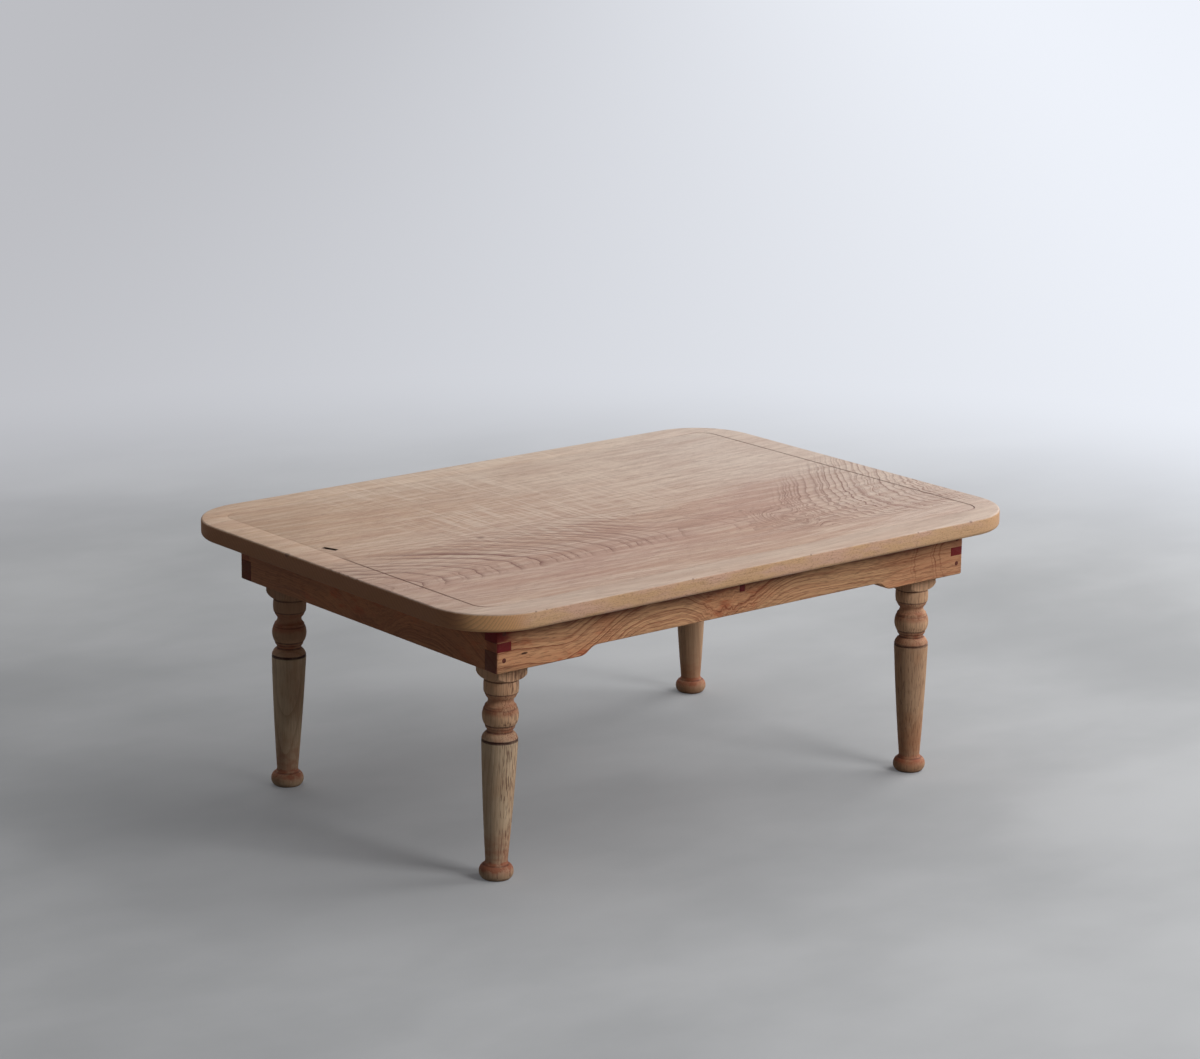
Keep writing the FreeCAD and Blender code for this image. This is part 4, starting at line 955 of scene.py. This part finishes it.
# The room: a pale cloudy floor that is clear from beneath and glows where the camera sees it, a little near
# the table as painted light that lifts the table's shadow, and fully away from the table as a backdrop
# painted brighter to the right; a broad soft lamp on the right, another at the front, a weak one over the
# back, and a camera where the photograph was taken from.
floor_mesh = bpy.data.meshes.new("floor")
floor_reach = 40.0
floor_mesh.from_pydata([(-floor_reach, -floor_reach, 0), (floor_reach, -floor_reach, 0),
                        (floor_reach, floor_reach, 0), (-floor_reach, floor_reach, 0)], (), ((0, 1, 2, 3),))
floor = bpy.data.objects.new("floor", floor_mesh)
bpy.context.scene.collection.objects.link(floor)
floor_finish, floor_place, (floor_x, floor_y, _) = bare_finish("pale_floor")
floor_tree = floor_finish.node_tree
away = distance(floor_x, floor_y)
floor_cloud = rise(flecks(floor_place, (2.0, 3.0, 2.0), 8.0, 1.0), 0.25, 0.75)
floor_seen = floor_place.node("ShaderNodeLightPath", {}, {}, "Is Camera Ray")
floor_colour = stained(floor_cloud, paint(156, 157, 158), paint(184, 185, 186))
floor_colour = stained(0.35 + floor_seen * 0.65, paint(90, 90, 90), floor_colour)
finish_with(floor_finish, floor_colour, 0.75 + floor_cloud * 0.1, floor_cloud, 0.0005)
# The backdrop's glow is painted brighter to the right, the side the light comes from.
backdrop_brighter_to_right = rise(floor_x * 0.77 - floor_y * 0.64, -1.6, 1.6)
backdrop_glow_colour = stained(backdrop_brighter_to_right, paint(189, 190, 195), paint(239, 243, 251))
backdrop_and_floor_glow = floor_place.node("ShaderNodeEmission", {}, {"Color": backdrop_glow_colour, "Strength": 1.0})
floor_shader = Measure(floor_tree, floor_tree.nodes["Principled BSDF"].outputs[0])
# Painted light: near the table a tenth of the floor the camera sees is glow, which lifts the shadow; far off
# all of it is.
floor_glow_share = (0.1 + rise(away, 1.1, 2.4) * 0.9) * floor_seen
floor_shader = floor_shader.node("ShaderNodeMixShader", {}, {0: floor_glow_share, 1: floor_shader, 2: backdrop_and_floor_glow})
from_beneath = floor_place.node("ShaderNodeNewGeometry", {}, {}, "Backfacing") * floor_seen
clear = floor_place.node("ShaderNodeBsdfTransparent", {}, {})
floor_shader = floor_shader.node("ShaderNodeMixShader", {}, {0: from_beneath, 1: floor_shader, 2: clear})
floor_tree.links.new(floor_shader.socket, floor_tree.nodes["Material Output"].inputs[0])
floor_mesh.materials.append(floor_finish)


def soft_lamp(name, place, size, watts):
    """A square lamp that faces the table."""
    lamp = bpy.data.lights.new(name, "AREA")
    lamp.shape = "SQUARE"
    lamp.size = size
    lamp.energy = watts
    holder = bpy.data.objects.new(name, lamp)
    holder.location = place
    holder.rotation_euler = (Vector((0, 0, 0.2)) - Vector(place)).to_track_quat("-Z", "Y").to_euler()
    bpy.context.scene.collection.objects.link(holder)


soft_lamp("front_lamp", (1.2, -3.6, 2.35), 1.6, 90.0)
soft_lamp("right_lamp", (3.3, -0.5, 2.7), 3.4, 142.0)
soft_lamp("back_lamp", (0.4, 1.8, 3.2), 2.4, 26.0)
room = bpy.data.worlds.new("room")
room.use_nodes = True
room_light = room.node_tree.nodes["Background"]
room_light.inputs["Color"].default_value = (0.97, 0.98, 1.0, 1.0)
ray_kind = room.node_tree.nodes.new("ShaderNodeLightPath")
seen_in_gloss = Measure(room.node_tree, ray_kind.outputs["Is Glossy Ray"])
room.node_tree.links.new((seen_in_gloss * 0.6 + 0.072).socket, room_light.inputs["Strength"])
bpy.context.scene.world = room

camera = bpy.data.objects.new("camera", bpy.data.cameras.new("camera"))
camera.data.sensor_width = 36.0
camera.data.lens = 107.29
yaw = math.radians(39.46)
pitch = math.radians(14.43)
roll = math.radians(0.77)
forward = Vector((math.sin(yaw) * math.cos(pitch), math.cos(yaw) * math.cos(pitch), -math.sin(pitch)))
level = Vector((math.cos(yaw), -math.sin(yaw), 0))
upright = level.cross(forward)
camera_right = level * math.cos(roll) + upright * math.sin(roll)
camera_up = upright * math.cos(roll) - level * math.sin(roll)
camera.matrix_world = Matrix((camera_right, camera_up, -forward)).transposed().to_4x4()
camera.location = (-2.6633, -3.2268, 1.3899)
bpy.context.scene.collection.objects.link(camera)
bpy.context.scene.camera = camera
bpy.context.scene.view_settings.view_transform = "Standard"
